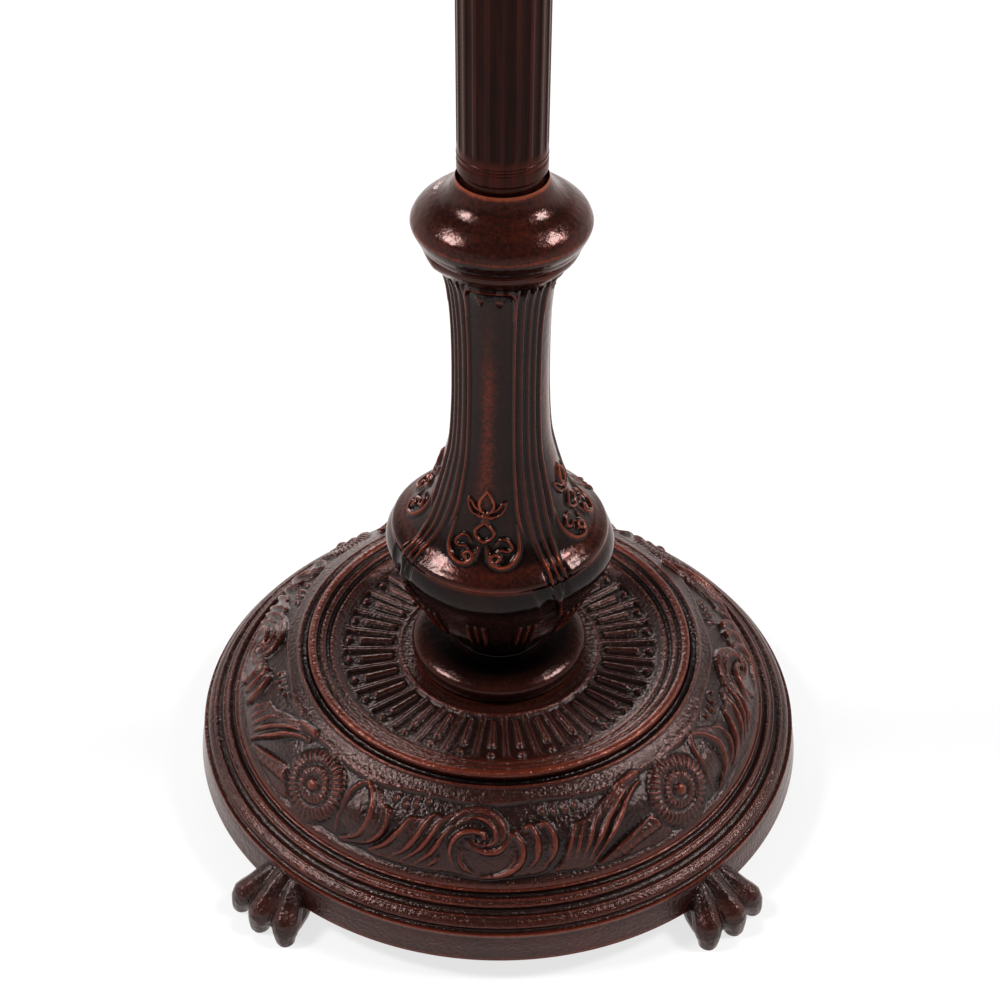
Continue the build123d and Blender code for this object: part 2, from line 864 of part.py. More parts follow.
keep("base_casting", make_base())
keep("base_ballast", ring(weight_r, pipe_r + pipe_gap, weight_z, weight_t))
keep("base_cover", ring(cover_r, pipe_r + pipe_gap, cover_z, cover_t))
keep("lead_in_bush", make_bush())
keep("stem_socle", make_socle())
keep("stem_casting", make_stem())
keep("stem_collar", make_collar())
keep("column_ferrule", make_ferrule())
keep("column_tube_lower", fluted_tube(lower_tube_z, lower_tube_l))
keep("column_knop", make_knop())
keep("column_tube_upper", fluted_tube(upper_tube_z, upper_tube_l))
keep("column_capital", make_capital())
keep("cluster_body", make_cluster())

# The pipe in two lengths, which meet in a coupling inside the knop's height.
pipe_low_z = bottom_nut_z - 1.5
joint_z = knop_z + knop_h + fit_l + 12.0
pipe_top_z = cluster_z + cluster_wall + nut_t + 2.0
keep("tie_pipe_lower", ring(pipe_r, pipe_bore_r, pipe_low_z, joint_z - pipe_low_z))
keep("tie_pipe_upper", ring(pipe_r, pipe_bore_r, joint_z, pipe_top_z - joint_z))
keep("pipe_coupling", ring(pipe_r + 3.0, pipe_r + slip_gap, joint_z - 11.0, 22.0))
keep(
    "pipe_nuts",
    nut(bottom_nut_z),
    nut(cluster_z + cluster_wall),
    nut(cluster_top_z - cluster_wall - nut_t),
    nut(cluster_top_z),
    nut(bearer_z - bearer_t - nut_t),
)
keep("pipe_washer", ring(washer_r, pipe_r + pipe_gap, bottom_washer_z, washer_t))

for side, name in ((1, "right"), (-1, "left")):
    keep("socket_nipple_" + name, make_nipple(side))
    keep("socket_cap_" + name, make_socket_cap(side))
    keep("socket_shell_" + name, make_socket_shell(side))
    keep("switch_block_" + name, make_switch_block(side))
    keep("screw_shell_" + name, make_screw_shell(side))
    keep("centre_contact_" + name, make_contact(side))
    keep("chain_guide_" + name, make_chain_guide(side))
    keep("pull_chain_" + name, make_chain(side))
    keep("chain_bell_" + name, make_pull(side))

pane_rows = ("apron", "lower", "middle", "upper", "shoulder", "crown")
for row in range(shade_rows):
    keep("glass_" + pane_rows[row], *make_panes(row))
keep("shade_leading", make_lead())
keep("shade_rim", make_shade_rim())
keep("crown_ring", make_crown_ring())
keep("shade_bearer", make_bearer())
keep("riser_pipe", make_riser())
keep("heat_cap", make_heat_cap())
keep("finial", make_finial())
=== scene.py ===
"""Floor lamp with a leaded glass shade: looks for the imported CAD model.

Everything is worked in millimetres about the lamp's axis, with the floor at z = 0 and the
front at -Y, and is turned to metres as each mesh is finished.
"""

from math import cos, hypot, pi, radians, sin

import bmesh
import bpy
import numpy as np
from mathutils import Matrix, Vector


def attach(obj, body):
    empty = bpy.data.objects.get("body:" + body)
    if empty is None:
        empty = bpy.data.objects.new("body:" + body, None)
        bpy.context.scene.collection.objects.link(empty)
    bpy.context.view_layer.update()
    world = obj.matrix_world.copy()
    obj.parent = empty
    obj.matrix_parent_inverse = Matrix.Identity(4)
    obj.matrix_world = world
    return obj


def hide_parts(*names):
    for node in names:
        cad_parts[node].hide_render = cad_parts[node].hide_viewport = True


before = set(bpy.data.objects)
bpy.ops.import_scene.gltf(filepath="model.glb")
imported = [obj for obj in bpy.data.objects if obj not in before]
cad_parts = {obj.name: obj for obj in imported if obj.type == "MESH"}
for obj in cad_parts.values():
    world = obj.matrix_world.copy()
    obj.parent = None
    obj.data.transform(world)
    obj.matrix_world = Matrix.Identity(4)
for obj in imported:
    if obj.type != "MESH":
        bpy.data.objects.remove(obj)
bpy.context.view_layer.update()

# Camera, floor and lights. The camera is fitted to the photograph's rings. The floor and the
# surroundings are white to the camera and in reflections, and the floor keeps the lamp's shadow.
mm = 0.001
metre = 1000
scene = bpy.context.scene
scene.view_settings.view_transform = "Standard"

camera_back = 684.85
camera_height = 713.55
camera_pitch = 38.97
camera_roll = 0.42
camera_focal_px = 1866.46
photo_px = 1000
floor_r = 9000
surround_light = 0.30
ceiling_light = 0.10
backdrop_top = 0.22
ceiling_edge = 0.62
floor_glow = 0.72
floor_glow_near = 500
floor_glow_far = 2500


def linear(colour):
    """An sRGB hex colour as the linear RGBA that Blender's sockets take."""
    parts = [int(colour[i:i + 2], 16) / 255 for i in (1, 3, 5)]
    return [c / 12.92 if c <= 0.04045 else ((c + 0.055) / 1.055) ** 2.4 for c in parts] + [1]


def add(tree, kind, inputs=(), out=0, stops=(), **settings):
    """Adds a shader node with its settings, its inputs' values or links and a ramp's stops: one output."""
    node = tree.nodes.new("ShaderNode" + kind)
    for name, value in settings.items():
        setattr(node, name, value)
    for key, value in dict(inputs).items():
        if isinstance(value, bpy.types.NodeSocket):
            tree.links.new(value, node.inputs[key])
        else:
            node.inputs[key].default_value = value
    for i, (place, colour) in enumerate(stops):
        stop = node.color_ramp.elements[i] if i < 2 else node.color_ramp.elements.new(place)
        stop.position = place
        stop.color = linear(colour)
    return node.outputs[out]


def bare(material):
    """Clears a material's or world's nodes and returns its tree with a new output node."""
    material.use_nodes = True
    material.node_tree.nodes.clear()
    kind = "OutputWorld" if isinstance(material, bpy.types.World) else "OutputMaterial"
    return material.node_tree, material.node_tree.nodes.new("ShaderNode" + kind)


# White all round to the camera. Mirrored rays meet the same white low down, as from the
# backdrop, and the studio's dimmer ceiling above it, by the height of each ray's direction.
world = bpy.data.worlds.new("white_surround")
scene.world = world
tree, output = bare(world)
way = {"Vector": add(tree, "TexCoord", out="Generated")}
way = add(tree, "SeparateXYZ", way, out="Z")
ceiling = {"Value": way, "From Min": backdrop_top, "From Max": ceiling_edge, "To Min": 1.0,
           "To Max": ceiling_light}
ceiling = add(tree, "MapRange", ceiling, interpolation_type="SMOOTHSTEP")
rays = add(tree, "LightPath").node.outputs
straight = {0: rays["Is Camera Ray"], 1: rays["Is Transmission Ray"]}
straight = add(tree, "Math", straight, operation="MAXIMUM")
other = add(tree, "Mix", {"Factor": straight, "A": surround_light, "B": 1.0})
strength = {"Factor": rays["Is Glossy Ray"], "A": other, "B": ceiling}
strength = add(tree, "Mix", strength)
sky = add(tree, "Background", {"Color": linear("#ffffff"), "Strength": strength})
tree.links.new(sky, output.inputs[0])

# Paper is matt and even. It glows white to the camera and to mirrored rays, a little less near
# the lamp, and takes the light and the lamp's shadow as paper does.
paper = bpy.data.materials.new("pale_paper_floor")
tree, output = bare(paper)
glow = add(tree, "Emission", {"Color": linear("#ffffff"), "Strength": 1.0})
matt = add(tree, "BsdfDiffuse", {"Color": linear("#f6f6f6")})
away = {0: add(tree, "TexCoord", out="Object")}
away = add(tree, "VectorMath", away, out="Value", operation="LENGTH")
spread = {"Value": away, "From Min": floor_glow_near * mm, "From Max": floor_glow_far * mm,
          "To Min": floor_glow, "To Max": 1.0}
spread = add(tree, "MapRange", spread, interpolation_type="SMOOTHSTEP")
rays = add(tree, "LightPath").node.outputs
seen = rays["Is Camera Ray"]
for kind in ("Is Glossy Ray", "Is Transmission Ray"):
    seen = add(tree, "Math", {0: seen, 1: rays[kind]}, operation="MAXIMUM")
share = add(tree, "Math", {0: seen, 1: spread}, operation="MULTIPLY")
blend = add(tree, "MixShader", {0: share, 1: matt, 2: glow})
tree.links.new(blend, output.inputs[0])

bm = bmesh.new()
bmesh.ops.create_circle(bm, cap_ends=True, segments=64, radius=floor_r * mm)
floor_mesh = bpy.data.meshes.new("floor")
bm.to_mesh(floor_mesh)
bm.free()
floor_mesh.materials.append(paper)
floor = bpy.data.objects.new("floor", floor_mesh)
scene.collection.objects.link(floor)

camera_data = bpy.data.cameras.new("camera")
camera_data.sensor_width = 36
camera_data.lens = camera_focal_px / photo_px * camera_data.sensor_width
camera = bpy.data.objects.new("camera", camera_data)
pitched = Matrix.Rotation(radians(90 - camera_pitch), 4, "X")
rolled = Matrix.Rotation(radians(camera_roll), 4, "Z")
camera.matrix_world = Matrix.Translation((0, -camera_back * mm, camera_height * mm)) @ (pitched @ rolled)
scene.collection.objects.link(camera)
scene.camera = camera

# Three square softboxes: place, height faced on the lamp's axis and side in metres, and power.
softboxes = (
    ("softbox_left", (-1.45, -0.05, 1.85), 0.2, 0.50, 38),
    ("softbox_right", (1.45, 0.05, 1.8), 0.2, 0.48, 34),
    ("softbox_back", (-0.4, 2.5, 0.8), 0.3, 0.8, 16),
)
for name, place, faced, side, power in softboxes:
    data = bpy.data.lights.new(name, "AREA")
    data.size = side
    data.energy = power
    lamp = bpy.data.objects.new(name, data)
    facing = (Vector((0, 0, faced)) - Vector(place)).to_track_quat("-Z", "Y")
    lamp.matrix_world = Matrix.Translation(place) @ facing.to_matrix().to_4x4()
    scene.collection.objects.link(lamp)

# Rim of the base. The base is one heavy sand casting in iron, spray painted bronze and rubbed back
# to red primer on its high edges. Its rim is an upright wall under turned mouldings.


def along(points, pitch, smooth=True):
    """Points at an even pitch along the line through the given ones, rounded if smooth."""
    points = np.array(points, float)
    if smooth:
        padded = np.vstack([2 * points[0] - points[1], points, 2 * points[-1] - points[-2]])
        fine = []
        for a, b, c, d in zip(padded, padded[1:], padded[2:], padded[3:]):
            for t in np.linspace(0, 1, 12, endpoint=False):
                bend = 2 * a - 5 * b + 4 * c - d + t * (3 * (b - c) + d - a)
                fine.append(b + 0.5 * t * (c - a + t * bend))
        points = np.array(fine + [points[-1]])
    run = np.concatenate([[0], np.cumsum(np.linalg.norm(np.diff(points, axis=0), axis=1))])
    places = np.linspace(0, run[-1], max(2, round(run[-1] / pitch) + 1))
    return np.stack([np.interp(places, run, column) for column in points.T], axis=1)


def marked(line, start, way=1):
    """Adds to each point how far along the line it is, from start, as the carving's own measure."""
    steps = np.concatenate([[0], np.cumsum(np.linalg.norm(np.diff(line, axis=0), axis=1))])
    return [(r, z, start + way * run) for (r, z), run in zip(line, steps)]


def unmarked(*corners):
    """Points that no carving moves."""
    return [(r, z, -1) for r, z in corners]


def spun(section, turns, closed=True):
    """A turned mesh from its half section of (radius, height, carving's measure).

    One of the sectors is spun and then doubled until it closes, which is quick for fine meshes."""
    bm = bmesh.new()
    measure = bm.verts.layers.float.new("measure")
    verts = []
    for r, z, run in section:
        vert = bm.verts.new((r, 0, z))
        vert[measure] = run
        verts.append(vert)
    pairs = zip(verts, verts[1:] + verts[:1]) if closed else zip(verts, verts[1:])
    edges = [bm.edges.new(pair) for pair in pairs]
    reach = 2 * pi / sectors
    bmesh.ops.spin(bm, geom=verts + edges, cent=(0, 0, 0), axis=(0, 0, 1), dvec=(0, 0, 0),
                   angle=reach, steps=round(turns / sectors), use_merge=False,
                   use_normal_flip=False, use_duplicate=False)
    while reach < pi * 1.5:
        copy = bmesh.ops.duplicate(bm, geom=bm.verts[:] + bm.edges[:] + bm.faces[:])["geom"]
        moved = [part for part in copy if isinstance(part, bmesh.types.BMVert)]
        bmesh.ops.rotate(bm, cent=(0, 0, 0), matrix=Matrix.Rotation(reach, 3, "Z"), verts=moved)
        reach *= 2
    bmesh.ops.remove_doubles(bm, verts=bm.verts, dist=weld)
    bmesh.ops.recalc_face_normals(bm, faces=bm.faces)
    bm.normal_update()
    return bm


def carve(bm, height_at):
    """Moves every marked point out by height_at(degrees to the right of the front, measure)."""
    lift = bm.verts.layers.float.new("lift")
    measure = bm.verts.layers.float["measure"]
    outer = [vert for vert in bm.verts if vert[measure] >= 0]
    place = np.array([vert.co for vert in outer])
    turned = np.degrees(np.arctan2(place[:, 0], -place[:, 1]))
    heights = height_at(turned, np.array([vert[measure] for vert in outer]))
    for vert, height in zip(outer, heights):
        vert.co += vert.normal * float(height)
        vert[lift] = float(height)
    bm.normal_update()


def bump(value, centre, half_width):
    """A half-round swelling of height 1 across value, where it is within half_width of centre."""
    return np.sqrt(np.clip(1 - ((value - centre) / half_width) ** 2, 0, 1))


def new_finish(name):
    """A bare finish: its material, its tree and output, and the place on the piece in metres."""
    material = bpy.data.materials.new(name)
    tree, output = bare(material)
    return material, tree, output, add(tree, "TexCoord", out="Object")


def shown(bm, name, material, *nodes, body="stand", crease=50):
    """Finishes a mesh as a piece: metres, smooth shading, material, body, and hiding the nodes it stands
    for.
    """
    bmesh.ops.scale(bm, vec=(mm, mm, mm), verts=bm.verts)
    mesh = bpy.data.meshes.new(name)
    bm.to_mesh(mesh)
    bm.free()
    mesh.polygons.foreach_set("use_smooth", [True] * len(mesh.polygons))
    mesh.set_sharp_from_angle(angle=radians(crease))
    mesh.materials.append(material)
    piece = bpy.data.objects.new(name, mesh)
    scene.collection.objects.link(piece)
    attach(piece, body)
    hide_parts(*nodes)
    return piece


def stored(mesh, name, values):
    """Keeps one number a point of a mesh, for its finish to read."""
    values = values.astype(np.float32)
    mesh.attributes.new(name, "FLOAT", "POINT").data.foreach_set("value", values)


def worn_and_shaded(piece, passes, handled_and_shaded=None):
    """Stores how proud of its surroundings each point is, in mm, for rubbed edges and painted shade in
    hollows, and where it is worn or painted darker as shade.
    """
    mesh = piece.data
    count = len(mesh.vertices)
    place = np.empty(count * 3, np.float32)
    mesh.vertices.foreach_get("co", place)
    place = place.reshape(-1, 3) / mm
    ends = np.empty(len(mesh.edges) * 2, np.int32)
    mesh.edges.foreach_get("vertices", ends)
    tails = np.concatenate([ends[0::2], ends[1::2]])
    heads = np.concatenate([ends[1::2], ends[0::2]])
    degree = np.bincount(tails, minlength=count)
    soft = place.copy()
    for _ in range(passes):
        for axis in range(3):
            near = np.bincount(tails, soft[heads, axis], count) / degree
            soft[:, axis] = (soft[:, axis] + near) / 2
    normal = np.empty(count * 3, np.float32)
    mesh.vertex_normals.foreach_get("vector", normal)
    proud = np.clip(((place - soft) * normal.reshape(-1, 3)).sum(axis=1), -1.0, 0.5)
    stored(mesh, "proud", proud)
    # Positive values of the wear mark are rubbing; negative ones darken, mostly as painted shade where
    # parts overhang or meet.
    if handled_and_shaded:
        turned = np.degrees(np.arctan2(place[:, 0], -place[:, 1]))
        stored(mesh, "handled_and_shaded", handled_and_shaded(turned, np.hypot(place[:, 0], place[:, 1]), place[:, 2]))


def bronze_paint_worn_and_shaded(name, grain_mm, relief_mm, gloss, shine, ground, rub_and_shade,
                        blotch_mm=26, streak=1.0):
    """Dark bronze paint over red primer, red where edges are rubbed, with painted shade near black in
    hollows.

    The real grain and specks are finer, and are drawn as coarse as they need to show."""
    material, tree, output, place = new_finish(name)
    drawn = add(tree, "Mapping", {"Vector": place, "Scale": (1.0, 1.0, 1 / streak)})
    wear_and_shade_keys = ("proud", "lift", "handled_and_shaded")
    proud, lift, handled_and_shaded = (add(tree, "Attribute", out="Fac", attribute_name=key) for key in wear_and_shade_keys)
    blotches = {"Vector": drawn, "Scale": metre / blotch_mm, "Detail": 6.0, "Roughness": 0.66}
    blotches = add(tree, "TexNoise", blotches)
    specks = {"Vector": drawn, "Scale": metre / speck_mm, "Detail": 3.0, "Roughness": 0.75}
    specks = add(tree, "TexNoise", specks)
    sand = {"Vector": place, "Scale": metre / grain_mm, "Detail": 3.0, "Roughness": 0.62}
    sand = add(tree, "TexNoise", sand)
    pits = {"Vector": place, "Scale": metre / (grain_mm * 1.5), "Randomness": 1.0}
    pits = add(tree, "TexVoronoi", pits)
    touch_and_shade = add(tree, "Math", {0: handled_and_shaded, 1: specks}, operation="MULTIPLY")
    # Painted shade: proud and lift take hollows and sunk ground down to the near black tones, while proud
    # also reddens rubbed edges and the wear mark adds rubbing and painted shade.
    wear_and_shade = ground
    layers = ((proud, rub_and_shade), (lift, rub_and_shade * 0.15), (blotches, 0.30), (specks, 0.32), (touch_and_shade, 0.75))
    for layer, share in layers:
        wear_and_shade = add(tree, "Math", {0: layer, 1: share, 2: wear_and_shade}, operation="MULTIPLY_ADD")
    paint = add(tree, "ValToRGB", {"Fac": wear_and_shade}, stops=paint_and_shade_tones)
    matt = add(tree, "Math", {0: specks, 1: 0.2, 2: gloss - 0.1}, operation="MULTIPLY_ADD")
    grain = add(tree, "Math", {0: pits, 1: 0.45, 2: sand}, operation="MULTIPLY_ADD")
    rough = {"Height": grain, "Distance": relief_mm * mm, "Strength": 1.0}
    rough = add(tree, "Bump", rough)
    skin = {"Base Color": paint, "Roughness": matt, "Normal": rough, "Metallic": 0.4, "IOR": 1.5,
            "Specular IOR Level": shine, "Specular Tint": linear("#ffe6de"),
            "Coat Weight": shine, "Coat Roughness": 0.12, "Coat Normal": rough}
    tree.links.new(add(tree, "BsdfPrincipled", skin), output.inputs[0])
    return material


# A sand casting keeps its grain under the paint, and so a soft and broken shine.
speck_mm = 1.9
# The near black tones are painted shade for hollows; the reds are primer on rubbed edges.
paint_and_shade_tones = ((0.06, "#060303"), (0.24, "#0f0706"), (0.38, "#1f0e0b"), (0.50, "#30140f"),
               (0.64, "#481b11"), (0.80, "#642717"), (1.0, "#854028"))
sand_cast_iron = bronze_paint_worn_and_shaded("bronze_painted_sand_cast_iron", grain_mm=1.4,
                                     relief_mm=0.40, gloss=0.20, shine=0.30, ground=0.18, rub_and_shade=0.34)

rim_foot = (153.0, 12.0)
rim_corner = (150.0, 26.5)
frieze_foot = (133.3, 37.9)
rim_start = 99.4
frieze_start = 64.1
dish_edge = (95.5, 72.0)
shell_t = 4.0
sectors = 16
weld = 0.001

wall = along([rim_foot, (152.3, 15.5), (151.2, 22.0), rim_corner], 0.5)
ledge_points = [rim_corner, (147.4, 29.6), (144.3, 31.9), (141.0, 33.4), (138.0, 34.8), frieze_foot]
ledges = along(ledge_points, 0.36)
rim_line = marked(np.vstack([wall, ledges[1:]]), rim_start, -1)
rim_back = unmarked((frieze_foot[0] - shell_t, frieze_foot[1] - shell_t), (140, 28), (145.5, rim_foot[1]))


def rim_mouldings(turned, run):
    """The rim's beads and grooves, by their places up the section in mm."""
    height = 0.7 * bump(run, 84.9, 0.9) - 1.2 * bump(run, 82.9, 1.4)
    height += 0.8 * bump(run, 79.9, 2.3) + 0.55 * bump(run, 76.9, 0.9) - 1.5 * bump(run, 74.3, 2.0)
    height += 1.3 * bump(run, 70.3, 2.7) + 0.45 * bump(run, 71.9, 0.7) + 0.45 * bump(run, 68.8, 0.7)
    height += -1.4 * bump(run, 66.7, 1.4) + 0.4 * bump(run, 64.8, 0.8)
    waver = 0.06 * np.sin(np.radians(turned * 3 + 40)) + 0.05 * np.sin(np.radians(turned * 7 + 110))
    return height + waver * (run < 92)


bm = spun(rim_line + rim_back, turns=720)
carve(bm, rim_mouldings)
piece = shown(bm, "base_rim", sand_cast_iron, "base_casting", crease=60)
worn_and_shaded(piece, 10, lambda turned, r, z: 0.3 * bump(z, 26.0, 1.2))

# Frieze of the base, the raised band between rim and dish, from the same mould. Each quarter has
# a rosette, crescents, rows of berries, leaf fingers, a large scroll and a fan of long leaves.


class Carving:
    """Heights in mm of a pattern that repeats round the axis, over degrees and mm down a section."""

    taper = 0.4  # the share of a line's length over which each end narrows

    def __init__(self, period, radius, low, high, pitch):
        self.scale = 2 * pi * radius / 360
        self.columns = round(period * self.scale / pitch)
        self.pitch = period * self.scale / self.columns
        self.low = low
        self.rows = round((high - low) / self.pitch) + 1
        self.height = np.zeros((self.rows, self.columns))

    def mask(self, line, width, ends=(1.0, 1.0)):
        """How a half-round line through the points covers the sheet, from 0 to 1."""
        flat = [(turned * self.scale, run) for turned, run in line]
        cover = np.zeros_like(self.height)
        track = along(flat, min(width * 0.4, 0.5)) if len(flat) > 1 else np.array(flat)
        for i, (x, y) in enumerate(track):
            t = i / max(len(track) - 1, 1)
            started = ends[0] + (1 - ends[0]) * t / self.taper
            finished = ends[1] + (1 - ends[1]) * (1 - t) / self.taper
            share = min(1, started, finished)
            reach = int(width / self.pitch) + 2
            columns = np.arange(int(x / self.pitch) - reach, int(x / self.pitch) + reach + 1)
            row = (y - self.low) / self.pitch
            rows = np.arange(max(0, int(row) - reach), min(self.rows, int(row) + reach + 1))
            if len(rows) == 0:
                continue
            across = (columns * self.pitch - x) / (width * share)
            down = (rows * self.pitch + self.low - y) / (width * share)
            dome = share * np.sqrt(np.clip(1 - across[None, :] ** 2 - down[:, None] ** 2, 0, 1))
            patch = np.ix_(rows, columns % self.columns)
            cover[patch] = np.maximum(cover[patch], dome)
        return cover

    def ridge(self, line, width, rise, ends=(1.0, 1.0)):
        """Lifts the sheet to a rounded ridge where it is lower."""
        self.height = np.maximum(self.height, rise * self.mask(line, width, ends))

    def trim(self, line, width, rise, ends=(1.0, 1.0)):
        """Adds a rounded bead on top of what is there, or a groove where rise is negative."""
        self.height = self.height + rise * self.mask(line, width, ends)

    def plateau(self, outline, rise):
        """Lifts all within a closed outline to one flat top."""
        corners = along([(turned * self.scale, run) for turned, run in outline + outline[:1]], 1.0)
        y = (np.arange(self.rows) * self.pitch + self.low)[:, None]
        first = int(corners[:, 0].min() / self.pitch) - 1
        columns = np.arange(first, int(corners[:, 0].max() / self.pitch) + 2)
        x = (columns * self.pitch)[None, :]
        inside = np.zeros((self.rows, len(columns)), bool)
        for (ax, ay), (bx, by) in zip(corners, np.roll(corners, -1, axis=0)):
            crossed = (y > min(ay, by)) & (y <= max(ay, by))
            inside ^= crossed & (x < ax + (y - ay) * (bx - ax) / (by - ay if by != ay else 1))
        patch = np.ix_(np.arange(self.rows), columns % self.columns)
        self.height[patch] = np.maximum(self.height[patch], rise * inside)

    def polar(self, turned, run):
        """Distance and angle of every cell about a centre."""
        span = self.columns * self.pitch
        x = np.arange(self.columns) * self.pitch - turned * self.scale
        x = (x + span / 2) % span - span / 2
        y = np.arange(self.rows) * self.pitch + self.low - run
        return np.hypot(x[None, :], y[:, None]), np.arctan2(y[:, None], x[None, :])

    def eased(self, times):
        """Rounds the pattern as a sand mould does."""
        for _ in range(times):
            sides = np.roll(self.height, 1, axis=1) + np.roll(self.height, -1, axis=1)
            padded = np.pad(self.height, ((1, 1), (0, 0)), mode="edge")
            self.height = (2 * self.height + sides + padded[:-2] + padded[2:]) / 6

    def at(self, turned, run):
        """The height at any place, read between the cells."""
        x = turned * self.scale / self.pitch
        y = np.clip((run - self.low) / self.pitch, 0, self.rows - 1.001)
        i = np.floor(x).astype(int)
        j = np.floor(y).astype(int)
        u = x - i
        v = y - j
        left, right = i % self.columns, (i + 1) % self.columns
        above = self.height[j, left] * (1 - u) + self.height[j, right] * u
        below = self.height[j + 1, left] * (1 - u) + self.height[j + 1, right] * u
        return above * (1 - v) + below * v


frieze = Carving(period=90, radius=122, low=12, high=66, pitch=0.3)
rosette = (44.6, 43.0)
rosette_r = 17.2
petal_count = 34
inner_petals = 22
rosette_ring_r = 10.0
boss_r = 3.4
frieze_fullness = 1.12
frieze_relief = 1.5


def frieze_stroke(points, width, rise, bead_rise=0.0, ends=(1.0, 1.0)):
    """A scroll or leaf: a rounded ridge, with a finer bead along its middle if asked."""
    frieze.ridge(points, width * frieze_fullness, rise * frieze_relief, ends)
    if bead_rise:
        frieze.trim(points, width * 0.35, bead_rise, ends)


# The bodies that the strokes lie on: crescents, fingers with the scroll, fan, and leaf.
crescents = [(-34.5, 28.2), (-32.2, 26.6), (-29.0, 29.6), (-26.4, 34.2), (-24.2, 35.2), (-24.6, 41.0),
             (-25.6, 46.6), (-27.8, 52.6), (-31.0, 57.2), (-34.4, 59.0), (-33.0, 54.0), (-31.0, 49.0),
             (-30.0, 42.0), (-30.6, 36.0), (-32.0, 31.0)]
scroll_body = [(-27.6, 58.5), (-25.6, 53), (-23.4, 46.5), (-21.6, 39.5), (-20.3, 35.2), (-18.8, 35.0),
               (-17.2, 34.2), (-15.6, 31.6), (-14.0, 31.4), (-12.4, 31.6), (-10.2, 28.6), (-7.2, 26.6),
               (-4.2, 26.6), (-1.2, 28.8), (0.8, 32.2), (2.2, 36.2), (4.4, 35.8), (6.6, 36.2), (8.0, 33.6),
               (10.0, 34.2), (11.8, 38.0), (12.6, 44.0), (11.8, 50.5), (9.6, 56.6), (5.0, 58.0),
               (-2.0, 59.4), (-6.0, 58.8), (-10, 57.6), (-14, 58.4), (-21, 58.6)]
fan = [(11.5, 57.5), (14.2, 51), (16.4, 39.4), (17.4, 36.6), (20.6, 35.4), (24.0, 31.4), (28.0, 27.4),
       (32.0, 24.6), (35.6, 22.6), (36.6, 24.4), (36.2, 28.4), (34.0, 29.8), (31.4, 31.6), (28.6, 36),
       (25.6, 43), (22.4, 50.6), (20.4, 58.6), (15, 58)]
small_leaf = [(21.0, 58.8), (24.6, 55.4), (29.0, 51.0), (33.4, 47.2), (35.4, 45.6), (37.0, 49.2),
              (38.8, 58.6), (30, 59.2)]
for outline, rise in ((crescents, 1.3), (scroll_body, 1.25), (fan, 1.3), (small_leaf, 1.5)):
    frieze.plateau(outline, rise)

# Crescents to the right of the rosette that the previous quarter ends with.
frieze_stroke([(-36.2, 57), (-36.6, 50), (-36.4, 42), (-35.6, 33), (-33.6, 28), (-31.2, 28.5)], 1.3, 1.5,
              ends=(0.5, 0.8))
frieze_stroke([(-33.0, 27.6), (-30.6, 32), (-29.2, 39), (-29.4, 46), (-31.0, 53), (-34.8, 58.4)], 1.7, 2.3,
              0.3, ends=(0.6, 0.4))
frieze_stroke([(-29.4, 31), (-28.0, 38), (-28.1, 45), (-29.6, 52), (-32.0, 57)], 1.2, 1.5, ends=(0.4, 0.4))
frieze_stroke([(-27.6, 34.4), (-26.0, 35.6), (-25.1, 40), (-25.4, 46), (-27.4, 52.5), (-30.6, 57.2)], 1.5,
              2.0, 0.3, ends=(0.5, 0.3))
frieze_stroke([(-26.9, 37), (-26.6, 43), (-27.6, 48), (-29.2, 52)], 0.6, 1.4, ends=(0.3, 0.3))
hollow, _ = frieze.polar(-33.2, 46)
frieze.height = np.maximum(frieze.height, 1.1 * np.sqrt(np.clip(1 - (hollow / 7.5) ** 2, 0, 1)))

# Rows of berries on short stalks.
berries = ((-24.9, 29.4), (-22.2, 30.6), (-19.7, 29.2), (-17.0, 26.8),
           (10.7, 28.8), (13.3, 29.3), (16.0, 29.4), (18.5, 28.4))
for turned, run in berries:
    frieze.ridge([(turned, run)], 1.7, 1.9)
    frieze.ridge([(turned - 0.4, run - 1.6), (turned + 0.4, run - 3.0)], 1.2, 0.9)

# Leaf fingers that rise to the right, two smooth and two beaded.
fingers = (
    [(-27.6, 57.2), (-24.2, 51.5), (-21.7, 43.6), (-20.2, 37.4), (-18.9, 35.6)],
    [(-23.0, 57.4), (-19.6, 50.6), (-17.4, 42.4), (-15.8, 34.6), (-14.6, 32.0)],
    [(-20.2, 57), (-16.6, 49), (-14.4, 41), (-12.8, 34.4), (-10.6, 30.8)],
    [(-17.3, 57), (-14.0, 49.4), (-12.0, 41.4), (-10.2, 36)],
)
for finger in fingers:
    frieze_stroke(finger, 1.75, 2.1, 0.25, ends=(0.45, 0.5))
for finger in (fingers[2], fingers[3]):
    for turned, run in along(finger, 1.55):
        frieze.trim([(turned, run)], 0.75, 0.55)
frieze_stroke([(-14.6, 56.6), (-12.8, 52.4), (-12.4, 48.6)], 1.4, 1.8, ends=(0.6, 0.3))

# The large scroll: a broad band over the top, the volute inside it and the crescent below.
scroll_band = [(-10.4, 33.4), (-8.6, 29.6), (-5.8, 27.9), (-2.8, 28.6), (-0.4, 31.4), (1.0, 35.6),
               (0.7, 40.6), (-0.9, 43.6), (-2.9, 44.4)]
frieze_stroke(scroll_band, 2.9, 1.9, ends=(0.6, 0.5))
scroll_rim = [(-9.6, 36.2), (-8.0, 32.8), (-5.4, 31.0), (-2.6, 32.2), (-0.8, 35.6), (-0.4, 39.6),
              (-1.2, 42.2), (-3.2, 43.2), (-5.2, 42.0)]
frieze_stroke(scroll_rim, 1.1, 2.9, ends=(0.4, 0.5))
volute = [(-8.8, 55.6), (-9.9, 50), (-9.9, 44), (-8.6, 39.4), (-6.2, 37.2), (-3.6, 37.6), (-2.7, 39.8),
          (-3.9, 41.2)]
frieze_stroke(volute, 1.5, 2.7, 0.2, ends=(0.4, 0.7))
